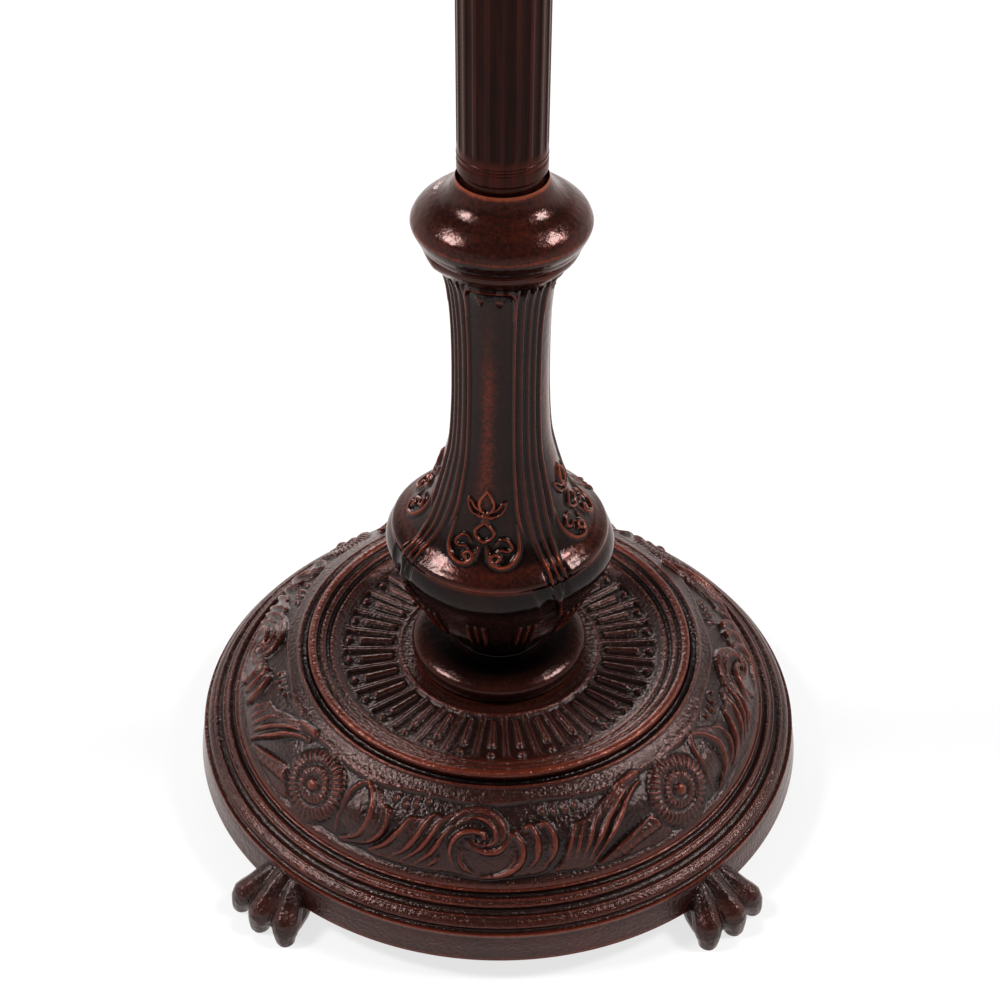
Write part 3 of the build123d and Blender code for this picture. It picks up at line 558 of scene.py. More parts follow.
frieze_stroke([(-6.6, 41.6), (-5.0, 44.6), (-2.4, 46.2), (0.4, 45.2), (2.2, 41.2), (3.2, 38.2)], 1.9, 2.3,
              ends=(0.5, 0.5))
frieze_stroke([(-7.7, 45.2), (-7.9, 50.4), (-6.5, 54.8), (-4.0, 57.4)], 1.2, 2.2, ends=(0.5, 0.4))
frieze_stroke([(2.6, 38.2), (4.2, 39.4), (5.4, 44), (5.0, 50), (3.2, 54.6), (0.0, 57.6), (-3.4, 58.4)], 1.7,
              2.6, 0.3, ends=(0.6, 0.5))
frieze_stroke([(0.4, 56.4), (2.6, 53.2), (3.9, 48.6), (3.9, 43.6)], 0.8, 2.0, ends=(0.3, 0.3))
frieze.trim([(-4.6, 40.6), (-3.4, 41.0)], 1.3, -1.6)

# Crescents nested to the right of the scroll, each with a thin line inside it.
for at, top, reach in ((7.4, 35.0, 1.0), (10.7, 34.4, 1.25)):
    crescent = [(at - 1.2, top + 0.6), (at, top), (at + reach * 1.1, top + 4.5),
                (at + reach * 1.3, top + 10), (at + reach * 0.5, top + 16), (at - 1.8, top + 21)]
    frieze_stroke(crescent, 1.75, 2.3, 0.35, ends=(0.8, 0.3))
    frieze_stroke([(at + 0.2, top + 5), (at + 0.6, top + 10.5), (at - 0.4, top + 16)], 0.7, 1.9,
                  ends=(0.3, 0.3))

# The fan of long leaves that fills the space up to the rosette.
frieze_stroke([(14.1, 53.4), (15.6, 46.2), (16.9, 40), (17.4, 38.0)], 1.15, 1.9, 0.3, ends=(0.3, 0.5))
frieze_stroke([(16.0, 54.8), (17.4, 47.4), (18.7, 40.6), (19.2, 38.0)], 1.15, 2.0, 0.3, ends=(0.3, 0.5))
frieze_stroke([(17.4, 55.8), (19.9, 46.2), (22.0, 38.4), (24.0, 34.6)], 1.4, 2.2, 0.3, ends=(0.3, 0.5))
frieze_stroke([(18.8, 57.0), (21.6, 47.8), (24.9, 39.6), (28.3, 32.0)], 1.6, 2.4, 0.3, ends=(0.3, 0.5))
frieze_stroke([(19.8, 58.0), (22.8, 50.6), (26.9, 42.0), (30.4, 34.8), (34.0, 30.2), (36.0, 29.2)], 1.5,
              2.8, 0.4, ends=(0.4, 0.6))
frieze_stroke([(24.4, 36.4), (27.4, 31.6), (31.0, 27.6), (34.4, 26.0), (36.2, 25.4)], 2.6, 1.9,
              ends=(0.6, 0.8))
frieze_stroke([(22.6, 45.6), (26.2, 37.4), (30.0, 31.4), (34.6, 27.6)], 1.2, 2.5, ends=(0.3, 0.4))

# The small serrated leaf below them, with its ribs.
leaf_spine = [(21.2, 58.6), (26.4, 55.6), (31.6, 52.4), (36.2, 50.8)]
frieze_stroke(leaf_spine, 3.6, 1.8, ends=(0.15, 1.0))
frieze_stroke([(21.4, 58.4), (27.8, 51.6), (34.2, 46.6)], 1.0, 2.3, ends=(0.4, 0.6))
frieze_stroke([(34.4, 46.8), (36.8, 50.4), (38.4, 56.4)], 0.9, 2.2, ends=(0.6, 0.3))
for turned, run in along(leaf_spine, 2.1)[2:]:
    frieze.trim([(turned - 0.9, run - 3.2), (turned + 0.5, run + 3.4)], 0.7, 0.6, ends=(0.4, 0.4))

# The rosette, two rings of fine petals round a boss.
away, about = frieze.polar(*rosette)
disc = np.clip(1 - (away / (rosette_r + 1.6)) ** 8, 0, 1)
petals = np.abs(np.cos(about * petal_count / 2)) ** 0.8 * bump(away, 13.7, 4.1)
small = np.abs(np.cos(about * inner_petals / 2)) ** 0.8 * bump(away, 7.2, 3.0)
ring = bump(away, rosette_ring_r, 0.9)
boss = np.sqrt(np.clip(1 - (away / boss_r) ** 2, 0, 1))
flower = 1.0 * disc + 1.5 * petals + 1.5 * small - 0.9 * ring + 2.6 * boss
frieze.height = np.where(away < rosette_r + 1.4, flower, frieze.height)

# The ground between is sunk and grainy, fading out to the plain cove and fillet.
run_at = np.arange(frieze.rows) * frieze.pitch + frieze.low
column_at = np.arange(frieze.columns) * frieze.pitch / frieze.scale
ground_top = 24.0 + 0.9 * np.cos(np.radians(column_at * 12 + 40))
ground_top -= 1.4 * np.cos(np.radians(column_at * 4))
ground = np.clip((run_at[:, None] - ground_top[None, :]) / 1.8, 0, 1)
frieze.height -= 1.5 * ground * np.clip((61.5 - run_at) / 3, 0, 1)[:, None]
frieze.eased(2)


def frieze_height(turned, run):
    """The scrolls, and the two edges that bound the smooth cove over them."""
    edges = -2.3 * bump(run, 13.0, 2.4) + 0.5 * bump(run, 16.0, 0.9) - 0.3 * bump(run, 20.0, 3.2)
    return frieze.at(turned, run) + edges


frieze_points = [frieze_foot, (130, 43.2), (125, 52.4), (120, 58.9), (115, 62.6), (110, 65.4), (105, 68),
                 (101, 69.9), (98, 71.1), dish_edge]
frieze_line = marked(along(frieze_points, 0.62), frieze_start, -1)
frieze_back = unmarked((dish_edge[0], dish_edge[1] - shell_t), (110, 60.5), (120, 53),
                       (frieze_foot[0] - shell_t, frieze_foot[1] - shell_t))
bm = spun(frieze_line + frieze_back, turns=1088)
carve(bm, frieze_height)
piece = shown(bm, "base_frieze", sand_cast_iron, "base_casting", crease=80)
worn_and_shaded(piece, passes=14)

# Medallion of the base, the dish that the stem stands in, from the same mould: thirty-two tongues
# with beads at their ends, thin bars between them, and plain rings round the outside.
tongue_count = 32
tongue_turn = -2.6
tongue_in = 53.0
tongue_out = 71.0
bead_at = 75.6
bar_in = 51.0
bar_out = 79.0
tongue_pitch = 360 / tongue_count


def off_nearest(turned, centre, period):
    """Degrees from the nearest of the places that repeat round the axis from centre."""
    return (turned - centre + period / 2) % period - period / 2


def medallion_height(turned, r):
    """Tongues, beads, bars and rings, by degrees round and radius."""
    across = np.radians(off_nearest(turned, tongue_turn, tongue_pitch)) * r
    half = 1.5 + 0.5 * (r - tongue_in) / (tongue_out - tongue_in)
    past = np.maximum(0, np.maximum(tongue_in + 1.5 - r, r - tongue_out + 1.8))
    tongue = np.sqrt(np.clip(1 - (across / half) ** 2 - (past / half) ** 2, 0, 1))
    bead = np.sqrt(np.clip(1 - (across ** 2 + (r - bead_at) ** 2) / 2.0 ** 2, 0, 1))
    from_bar = np.radians(tongue_pitch / 2) * r - np.abs(across)
    within = np.minimum(np.minimum(from_bar - 1.0, bar_out - 0.05 * across ** 2 - r), r - bar_in)
    floor_dip = np.clip(within / 0.7, 0, 1)
    bar_line = np.exp(-(from_bar / 0.4) ** 2)
    bar_line *= np.clip((r - bar_in) / 2, 0, 1) * np.clip((bar_out - r) / 1.5, 0, 1)
    height = -1.25 * floor_dip + 1.75 * tongue + 1.7 * bead - 0.3 * bar_line
    height += 0.8 * bump(r, 82.4, 2.4) - 1.2 * bump(r, 85.6, 1.1) + 0.7 * bump(r, 87.8, 1.7)
    return height - 1.2 * bump(r, 90.2, 1.0) + 1.0 * bump(r, 93.1, 2.3) + 0.5 * bump(r, 49.6, 1.2)


dish_points = [(42.0, 66.4), (50.9, 66.3), (66, 66.4), (79, 66.9), (84, 69.0), (88, 70.8), (92, 72.3),
               (94.6, 72.4), dish_edge]
dish_line = [(r, z, r) for r, z in along(dish_points, 0.6)]
dish_back = unmarked((dish_edge[0], dish_edge[1] - shell_t), (88, 66), (79, 62.6), (42, 62.6))
bm = spun(dish_line + dish_back, turns=960)
carve(bm, medallion_height)
piece = shown(bm, "base_medallion", sand_cast_iron, "base_casting", crease=80)
worn_and_shaded(piece, 10, lambda turned, r, z: 0.35 * bump(r, 93.2, 2.0))

# Claw feet: three lion's paws cast with the rim and painted as it is, two in front and one behind.
# Each has three round toes with a blunt claw under the knuckle and deep clefts between.
foot_turns = (-48, -132, 90)
claw_reach = 171.6
claw_top = 9.0
wall_reach = 143.5


def lumps(bm, line, sizes):
    """A row of overlapping balls along a line, which remeshing turns into one smooth limb."""
    track = along(line, 1.2)
    radii = np.interp(np.linspace(0, 1, len(track)), np.linspace(0, 1, len(sizes)), sizes)
    for place, radius in zip(track, radii):
        bmesh.ops.create_icosphere(bm, subdivisions=2, radius=radius, matrix=Matrix.Translation(place))


def remeshed(bm, voxel, smoothing):
    """Joins overlapping lumps into one skin, and eases it as a casting."""
    rough = bpy.data.meshes.new("lumps")
    bm.to_mesh(rough)
    bm.free()
    holder = bpy.data.objects.new("lumps", rough)
    scene.collection.objects.link(holder)
    join = holder.modifiers.new("join", "REMESH")
    join.mode = "VOXEL"
    join.voxel_size = voxel
    skin = bpy.data.meshes.new_from_object(holder.evaluated_get(bpy.context.evaluated_depsgraph_get()))
    bpy.data.objects.remove(holder)
    bm = bmesh.new()
    bm.from_mesh(skin)
    for _ in range(smoothing):
        bmesh.ops.smooth_vert(bm, verts=bm.verts, factor=0.5, use_axis_x=True, use_axis_y=True,
                              use_axis_z=True)
    return bm


# One paw, pointing along +X: middle toe, claw and ball, and on each side toe, claw, ball and web.
bm = bmesh.new()
middle_limbs = (
    ([(148.0, 0, 18.4), (154.0, 0, 16.6), (160.0, 0.2, 13.0), (164.4, 0.4, 9.2)], (7.4, 6.6, 6.8, 7.6)),
    ([(166.0, 0.3, 7.6), (167.2, 0.1, 4.6), (167.4, 0.0, 1.2)], (6.8, 5.6, 5.0)),
    ([(146.5, 0, 9.0), (154.0, 0, 7.0), (160.0, 0, 5.0)], (8.2, 9.2, 8.0)),
)
side_limbs = (
    ([(148.5, 7.0, 17.2), (154.4, 9.2, 15.2), (159.4, 11.6, 11.2), (162.6, 13.4, 8.6)],
     (7.0, 6.4, 6.7, 7.3)),
    ([(163.8, 14.2, 7.0), (165.0, 14.9, 4.0), (165.2, 15.2, 1.2)], (6.6, 5.4, 4.8)),
    ([(147.0, 6.6, 9.0), (153.0, 9.0, 6.6), (158.5, 10.8, 4.0)], (7.4, 7.6, 6.6)),
    ([(152.0, 4.2, 13.4), (158.0, 6.0, 9.0), (162.4, 7.4, 5.0)], (6.6, 6.0, 4.6)),
)
for line, sizes in middle_limbs:
    lumps(bm, line, sizes)
for side in (-1, 1):
    for line, sizes in side_limbs:
        lumps(bm, [(x, side * y, z) for x, y, z in line], sizes)
paw = remeshed(bm, voxel=0.55, smoothing=2)
for vert in paw.verts:
    vert.co.z = max(vert.co.z, 0.0)
    past = hypot(vert.co.x, vert.co.y) - claw_reach
    if past > 0 and vert.co.z < claw_top:
        vert.co.x -= past * 0.6
    vert.co.x += max(0.0, wall_reach - hypot(vert.co.x, vert.co.y))
paw_mesh = bpy.data.meshes.new("paw")
paw.to_mesh(paw_mesh)
paw.free()
for number, turned in enumerate(foot_turns, start=1):
    bm = bmesh.new()
    bm.from_mesh(paw_mesh)
    bmesh.ops.rotate(bm, cent=(0, 0, 0), matrix=Matrix.Rotation(radians(turned), 3, "Z"), verts=bm.verts)
    piece = shown(bm, f"claw_foot_{number}", sand_cast_iron, "base_casting", crease=70)
    worn_and_shaded(piece, 12, lambda turned, r, z: 0.3 * bump(z, 15.0, 4.0) * (r > 160) - 0.25)

# Socle, the turned ring clamped between dish and stem: smooth cast iron in the same paint under
# clear lacquer, which gives it a hard gloss and leaves only faint rubbing.
smooth_casting = bronze_paint_worn_and_shaded("bronze_lacquered_smooth_casting", grain_mm=2.6,
                                     relief_mm=0.18, gloss=0.19, shine=0.16, ground=0.09, rub_and_shade=0.64)
socle_z = 66.6
socle_path = [(40.6, socle_z), (43.0, 68.6), (43.7, 71.6), (42.8, 74.8), (39.4, 77.0), (34.5, 78.2),
              (29.0, 78.7), (24.0, 79.0)]
bm = spun(unmarked(*along(socle_path, 0.7), (6.0, 79.0), (6.0, socle_z)), turns=256)
piece = shown(bm, "stem_socle_ring", smooth_casting, "stem_socle", crease=60)
# The socle's rolled edge is rubbed; the whole ring is painted a little darker, and painted shade darkens
# its top towards the bowl that stands on it.
worn_and_shaded(piece, 14, lambda turned, r, z: 0.2 * bump(z, 76.0, 1.5) - 0.15 - 0.9 * np.clip((36 - r) / 5, 0, 1))

# Stem, one hollow lacquered casting. Its waisted shaft has four framed panels, reeding between them
# and a leaf with scrolls at each panel's foot. Below are a plain girdle and a bowl with twelve
# groups of three ribs.
panel_at = -12.0
panel_half = 24.5
panel_top = 66.5
shaft_start = 49.4
shoulder = 221.0
shaft_inset = 0.6
bowl_inset = 0.9
shaft_points = [(34.6, 303.0), (34.5, 300.0), (30.4, 295.2), (26.6, 291.0), (24.4, 284.5), (23.2, 275),
                (22.3, 260), (22.1, 240), (22.5, 220), (24.0, 200), (27.3, 185), (31.2, 172.5),
                (35.9, 162.5), (41.6, 155.6), (46.6, 151.8), (49.4, 150.1), (50.9, 149.0), (51.7, 147.6),
                (51.9, 146.2)]
carved_shaft = Carving(period=90, radius=32, low=44, high=232, pitch=0.22)


def shaft_stroke(points, width, rise, ends=(1.0, 1.0)):
    """Draws a line on both halves of the panel."""
    for side in (-1, 1):
        carved_shaft.ridge([(panel_at + side * off, run) for off, run in points], width, rise, ends)


# Panel frame, its sunken ground, and the reeding between two panels.
turned_at = np.arange(carved_shaft.columns) * carved_shaft.pitch / carved_shaft.scale
off_panel = np.abs(off_nearest(turned_at, panel_at, 90))
run_at = np.arange(carved_shaft.rows) * carved_shaft.pitch + carved_shaft.low
below_arch = np.clip((run_at - panel_top - 1) / 1.2, 0, 1)[:, None]
in_panel = np.clip((panel_half - 1.5 - off_panel) / 1.6, 0, 1)[None, :] * below_arch
carved_shaft.height -= 1.0 * in_panel * np.clip((214 - run_at) / 26, 0, 1)[:, None]
reeding = (run_at > panel_top - 3) * np.clip((219 - run_at) / 5, 0, 1)
gather = 1 - 0.62 * np.clip((run_at - 178) / 34, 0, 1) ** 1.5
reeds = ((27.4, 2.3, 1.3, 194), (30.4, 1.5, -1.0, 214), (35.8, 3.4, 0.9, 219), (40.2, 1.5, -1.2, 221),
         (45.0, 2.4, 0.9, 221))
for off, width, rise, stop in reeds:
    ribs = np.stack([bump(off_panel, 45 - (45 - off) * s, width * s) for s in gather])
    carved_shaft.height += rise * ribs * (reeding * np.clip((stop - run_at) / 6, 0, 1))[:, None]
arch = ((0.0, -3.0), (16.0, -3.0), (22.5, -1.2), (25.6, 4.0), (26.2, 14))
shaft_stroke([(off, panel_top + drop) for off, drop in arch], 1.1, 1.5)
for drop, reach in ((2.6, 5.2), (4.6, 3.4)):
    leaf_mark = [(10.0 - reach, panel_top + drop), (10.0, panel_top + drop + 0.9),
                 (10.0 + reach, panel_top + drop - 0.3)]
    shaft_stroke(leaf_mark, 0.8, 1.0, (0.4, 0.4))
carved_shaft.height += 0.35 * np.exp(-((run_at - 54.4) / 0.7) ** 2)[:, None]

# Leaf, side leaves, knob and scrolls at the panel's foot, all seen as raised outlines.
shaft_stroke([(0.0, 170.6), (4.0, 173.6), (6.8, 176.8), (4.8, 180.0), (1.2, 181.6)], 0.95, 1.9, (0.7, 0.8))
shaft_stroke([(4.4, 181.0), (9.6, 179.2), (13.8, 176.8), (18.4, 175.6)], 0.85, 1.7, (0.8, 0.7))
shaft_stroke([(5.0, 182.6), (11.0, 182.2), (15.6, 179.4), (18.4, 176.0)], 0.85, 1.7, (0.8, 0.7))
shaft_stroke([(0.0, 182.6), (4.2, 183.2), (8.6, 182.4)], 1.15, 1.9, (1.0, 0.6))
shaft_stroke([(0.0, 183.8), (1.8, 185.2)], 1.2, 1.7)
shaft_stroke([(0.0, 185.8), (5.4, 188.6), (7.6, 191.0), (4.4, 193.8), (0.0, 195.2)], 1.0, 1.9)
shaft_stroke([(9.4, 195.8), (12.4, 193.6), (17.4, 193.8), (20.8, 197.2), (17.8, 199.2), (12.8, 198.4),
              (9.4, 200.2)], 0.95, 1.7, (0.5, 0.6))
shaft_stroke([(26.0, 186.5), (26.6, 193.0), (25.2, 199.5), (20.2, 204.6), (13.4, 206.6), (7.6, 205.2),
              (6.2, 202.0), (9.6, 200.6), (12.2, 202.4), (10.0, 204.0)], 1.1, 2.0, (0.5, 0.9))
shaft_stroke([(2.6, 196.6), (4.0, 200.6), (3.4, 204.0)], 0.9, 1.2, (0.6, 0.4))
carved_shaft.eased(2)


def shaft_height(turned, run):
    """The panels and reeding, the notches in the shoulder's edge and the leaves under the collar."""
    off = np.abs(off_nearest(turned, panel_at, 90))
    notch = -1.6 * bump(off, 42.6, 1.4) - 1.4 * bump(off, 38.6, 1.1) + 0.8 * bump(off, 40.6, 0.9)
    leaf = 0.9 * np.clip(1 - np.abs(off - 45) / 16, 0, 1) * bump(run, 57.5, 7.5)
    sway = 0.5 * np.cos(np.radians(4 * (turned - panel_at))) * bump(run, shoulder, 12)
    return carved_shaft.at(turned, run) + notch * bump(run, shoulder, 11) + leaf + sway - shaft_inset


shaft_top = marked(along(shaft_points[:11], 1.15), shaft_start)
shaft_foot = marked(along(shaft_points[10:], 0.55), shaft_top[-1][2])
shaft_back = unmarked((50.4, 145.6), (44.0, 145.0), (16.0, 172.0), (16.0, 294.0), (5.1, 294.0),
                      (5.1, 303.0))
bm = spun(shaft_top + shaft_foot[1:] + shaft_back, turns=384)
carve(bm, shaft_height)
piece = shown(bm, "stem_shaft", smooth_casting, "stem_casting", crease=80)


def shaft_wear_and_shade(turned, r, z):
    """Where the shaft is rubbed red: down the middle of each panel, and round the shoulder; painted shade
    darkens its top under the collar.
    """
    beside = off_nearest(turned, panel_at - 3, 90)
    middle = np.exp(-(beside / 9.0) ** 2) * np.clip((z - 172) / 9, 0, 1) * np.clip((288 - z) / 50, 0, 1)
    brow = np.exp(-((z - 152.0) / 3.0) ** 2) * (r > 42)
    return 0.85 * middle + 0.5 * brow - 0.35 * np.clip((z - 296) / 3, 0, 1)


worn_and_shaded(piece, 12, shaft_wear_and_shade)

bowl_points = [(51.6, 147.0), (53.4, 143.8), (54.6, 140.6), (54.9, 137.4), (54.0, 133.4), (52.2, 129.4),
               (50.2, 125.2), (48.0, 120.2), (45.0, 113.4), (41.4, 105.8), (36.4, 97.4), (31.0, 90.6),
               (26.8, 85.6), (24.6, 82.2), (24.0, 79.0)]
bowl_line = marked(along(bowl_points, 0.75), shoulder)
rib_at = 16.5
rib_top = 248.0
rib_foot = 270.0


def bowl_height(turned, run):
    """Twelve groups of three ribs, and the folds, dents and four soft lobes of the girdle."""
    off = off_nearest(turned, rib_at, 30)
    spacing = np.interp(run, (rib_top, rib_foot), (4.4, 5.0))
    ribs = sum(np.exp(-((off - place * spacing) / 1.3) ** 2) for place in (-1, 0, 1))
    held = np.clip((run - rib_top) / 1.2, 0, 1) * np.clip((rib_foot + 3 - run) / 5, 0, 1)
    quarter = off_nearest(turned, panel_at + 45, 90)
    fold = -4 + 9 * (run - shoulder - 4) / 26
    drape = 1.2 * bump(quarter, fold, 1.6) - 1.7 * bump(quarter, fold - 6, 5.0)
    drape *= bump(run, shoulder + 15, 16)
    dents = -1.4 * bump(np.abs(quarter), 3.0, 2.4) * bump(run, shoulder + 2, 8)
    lobes = 0.9 * np.cos(np.radians(4 * (turned - panel_at))) * bump(run, shoulder + 12, 14)
    lip = 0.3 * bump(run, 247.4, 1.2)
    return 1.7 * ribs * held + dents + drape + lobes + lip - bowl_inset


bowl_back = unmarked((5.1, 79.0), (5.1, 88.0), (16.0, 88.0), (38.0, 112.0), (44.0, 138.0), (44.0, 145.0))
bm = spun(bowl_line + bowl_back, turns=480)
carve(bm, bowl_height)
piece = shown(bm, "stem_bowl", smooth_casting, "stem_casting", crease=80)
# The bowl is darker round its girdle, and painted shade darkens its foot where it sits on the socle.
worn_and_shaded(piece, 12, lambda turned, r, z: -0.45 * bump(z, 139, 9) - 1.4 * (z < 84))

# Collar, a smooth lacquered casting: a bell over the stem with a sharp rim, and a hole that the
# column's foot drops into.
collar_rim_z = 312
collar_points = [(34.6, 303.0), (35.6, 304.4), (36.6, 306.4), (38.2, 309.6), (38.8, 311.6)]
bell_points = [(38.8, 312.4), (38.1, 314.4), (36.0, 317.4), (31.4, 321.0), (26.8, 323.4), (23.6, 326.2),
               (21.4, 329.6), (20.2, 332.0)]
collar_back = [(19.7, 332.9), (19.3, 332.4), (19.3, 327.8), (14.0, 327.8), (14.0, 312.0), (5.1, 312.0),
               (5.1, 303.0)]
collar_line = np.vstack([along(collar_points, 0.5), along(bell_points, 0.5)])


def collar_height(turned, z):
    """The rim's slight waver, and a fine groove round the neck."""
    return 0.12 * np.sin(np.radians(3 * turned)) * bump(z, collar_rim_z, 4) - 0.15 * bump(z, 306.8, 0.8)


def collar_wear_and_shade(turned, r, z):
    """Where the collar is rubbed: on its sharp rim, over the bell and round the edge of its hole; painted
    shade darkens its foot over the shaft.
    """
    edges = 0.5 * bump(z, collar_rim_z, 0.7) + 0.7 * bump(r, 19.9, 0.7)
    return edges + 0.3 * (z > collar_rim_z) - 0.25 * (z < 305) + 0.9 * (r < 19.75) * (z < 332.7)


bm = spun([(r, z, z) for r, z in collar_line] + unmarked(*collar_back), turns=384)
carve(bm, collar_height)
piece = shown(bm, "collar_bell", smooth_casting, "stem_collar", crease=50)
worn_and_shaded(piece, 10, collar_wear_and_shade)

# Ferrule and column: a turned ferrule with a bead, under two lengths of steel tube that are rolled
# with twenty shallow flutes. Their lacquer is streaked along the rolling.
rolled_tube = bronze_paint_worn_and_shaded("bronze_lacquered_rolled_tube", grain_mm=3.0,
                                  relief_mm=0.05, gloss=0.22, shine=0.06, ground=0.20, rub_and_shade=0.12,
                                  blotch_mm=5.0, streak=18.0)
ferrule_path = [(17.8, 327.8), (17.8, 336.0), (18.6, 336.3), (19.2, 337.0), (19.2, 341.4), (18.7, 342.0),
                (18.7, 342.7), (19.2, 343.3), (19.2, 344.6), (18.6, 344.8)]
ferrule_line = along(ferrule_path, 0.4, smooth=False)
bm = spun(unmarked(*ferrule_line, (16.7, 344.8), (16.7, 354.8), (5.1, 354.8), (5.1, 327.8)), turns=256)
piece = shown(bm, "column_ferrule_ring", rolled_tube, "column_ferrule", crease=50)
worn_and_shaded(piece, 8, lambda turned, r, z: 0.3 * bump(z, 342.4, 0.6))

tube_r = 19.0
tube_wall = 2.2
flute_count = 20
flute_depth = 0.6
arris_share = 0.3
points_a_flute = 14
tube_length = 440.0


def fluted_tube(name, z, node):
    """A tube whose flutes run up to a plain band at each end."""
    bm = bmesh.new()
    ring = bmesh.ops.create_circle(bm, segments=flute_count * points_a_flute, radius=tube_r)["verts"]
    ends = ((2.2, 0.0), (1.4, 0.6), (1.2, 1.0), (tube_length - 9.6, 1.0), (1.2, 1.0), (1.4, 0.6),
            (2.6, 0.0))
    bmesh.ops.translate(bm, vec=(0, 0, z), verts=ring)
    rows = [list(ring)]
    edges = bm.edges[:]
    for rise, _ in ends:
        made = bmesh.ops.extrude_edge_only(bm, edges=edges)["geom"]
        rows.append([part for part in made if isinstance(part, bmesh.types.BMVert)])
        edges = [part for part in made if isinstance(part, bmesh.types.BMEdge)]
        bmesh.ops.translate(bm, vec=(0, 0, rise), verts=rows[-1])
    for row, (_, share) in zip(rows[1:], ends):
        for vert in row:
            turn = (np.arctan2(vert.co.y, vert.co.x) / (2 * pi) * flute_count) % 1
            dip = bump(turn, 0.5, 0.5 - arris_share / 2) * flute_depth * share
            vert.co.xy *= 1 - float(dip) / tube_r
    inner = bmesh.ops.duplicate(bm, geom=bm.verts[:] + bm.edges[:] + bm.faces[:])["geom"]
    for part in inner:
        if isinstance(part, bmesh.types.BMVert):
            part.co.xy *= (tube_r - tube_wall) / hypot(part.co.x, part.co.y)
    foot = [edge for edge in bm.edges if edge.is_boundary and abs(edge.verts[0].co.z - z) < 0.01]
    bmesh.ops.bridge_loops(bm, edges=foot)
    bmesh.ops.bridge_loops(bm, edges=[edge for edge in bm.edges if edge.is_boundary])
    bmesh.ops.recalc_face_normals(bm, faces=bm.faces)
    worn_and_shaded(shown(bm, name, rolled_tube, node, crease=50), passes=3)


fluted_tube("column_fluted_lower", 344.8, "column_tube_lower")
fluted_tube("column_fluted_upper", 828.8, "column_tube_upper")

# Fittings inside the base: raw cast ballast, a zinc-plated cover held up by washer and nut on the
# lamp pipe, and the rubber bush beside the back foot where the supply cord would leave.


def metal(name, bright, dull, roughness, patch_mm, relief_mm, metallic=1.0):
    """Metal or paint that varies between two tones in patches, with an uneven skin."""
    material, tree, output, place = new_finish(name)
    patches = {"Vector": place, "Scale": metre / patch_mm, "Detail": 6.0, "Roughness": 0.65}
    patches = add(tree, "TexNoise", patches)
    fine = add(tree, "TexNoise", {"Vector": place, "Scale": metre / (patch_mm / 9), "Detail": 3.0})
    tone = add(tree, "ValToRGB", {"Fac": patches}, stops=((0.35, dull), (0.66, bright)))
    matt = add(tree, "Math", {0: fine, 1: 0.24, 2: roughness - 0.12}, operation="MULTIPLY_ADD")
    uneven = {"Height": fine, "Distance": relief_mm * mm, "Strength": 1.0}
    uneven = add(tree, "Bump", uneven)
    skin = {"Base Color": tone, "Roughness": matt, "Normal": uneven, "Metallic": metallic}
    tree.links.new(add(tree, "BsdfPrincipled", skin), output.inputs[0])
    return material


# Raw iron is grey, matt and grainy, and zinc plate pale and even. Aged brass is warm under a
# brown bloom, and antiqued brass darker still. Thermoset is satin black, and rubber matt black.
raw_cast_iron = metal("raw_cast_iron", "#57524e", "#332f2d",
                      roughness=0.62, patch_mm=9, relief_mm=0.25, metallic=0.6)
zinc_plate = metal("zinc_plated_pressed_steel", "#b9b8b0", "#94938c",
                   roughness=0.34, patch_mm=22, relief_mm=0.02)
aged_brass = metal("aged_turned_brass", "#b08a4c", "#7d5d30",
                   roughness=0.32, patch_mm=14, relief_mm=0.02)
antique_brass = metal("antiqued_spun_brass", "#5c4026", "#2c1f15",
                      roughness=0.34, patch_mm=18, relief_mm=0.03)
moulded_black = metal("moulded_black_thermoset", "#1b1a19", "#121110",
                      roughness=0.42, patch_mm=6, relief_mm=0.01, metallic=0.0)
soft_rubber = metal("moulded_black_rubber", "#1a1918", "#131211",
                    roughness=0.62, patch_mm=4, relief_mm=0.02, metallic=0.0)

sharp_angle = 28
flat_angle = 0.8


def softened(node, material, edge, name=None, body="stand"):
    """A CAD node's own shape with its sharp edges broken by a small bevel, edge mm wide."""
    bm = bmesh.new()
    bm.from_mesh(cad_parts[node].data)
    bmesh.ops.scale(bm, vec=(metre, metre, metre), verts=bm.verts)
    bmesh.ops.remove_doubles(bm, verts=bm.verts, dist=2 * weld)
    bmesh.ops.dissolve_limit(bm, angle_limit=radians(flat_angle), verts=bm.verts, edges=bm.edges)
    joined = [side for side in bm.edges if len(side.link_faces) == 2]
    sharp = [side for side in joined if side.calc_face_angle() > radians(sharp_angle)]
    bmesh.ops.bevel(bm, geom=sharp, offset=edge, offset_type="OFFSET", segments=2, profile=0.5,
                    affect="EDGES", clamp_overlap=True, material=-1)
    return shown(bm, name or node + "_finished", material, node, body=body, crease=35)


softened("base_ballast", raw_cast_iron, edge=1.0)
softened("base_cover", zinc_plate, edge=0.3)
softened("pipe_washer", zinc_plate, edge=0.3)
softened("pipe_nuts", aged_brass, edge=0.35)
softened("lead_in_bush", soft_rubber, edge=0.35)

# The lamp pipes and their coupling stay as the solids are, in zinc plate.
for node in ("tie_pipe_lower", "tie_pipe_upper", "pipe_coupling"):
    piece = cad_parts[node]
    if not piece.material_slots:
        piece.data.materials.append(zinc_plate)
    for place in piece.material_slots:
        place.link = "OBJECT"
        place.material = zinc_plate

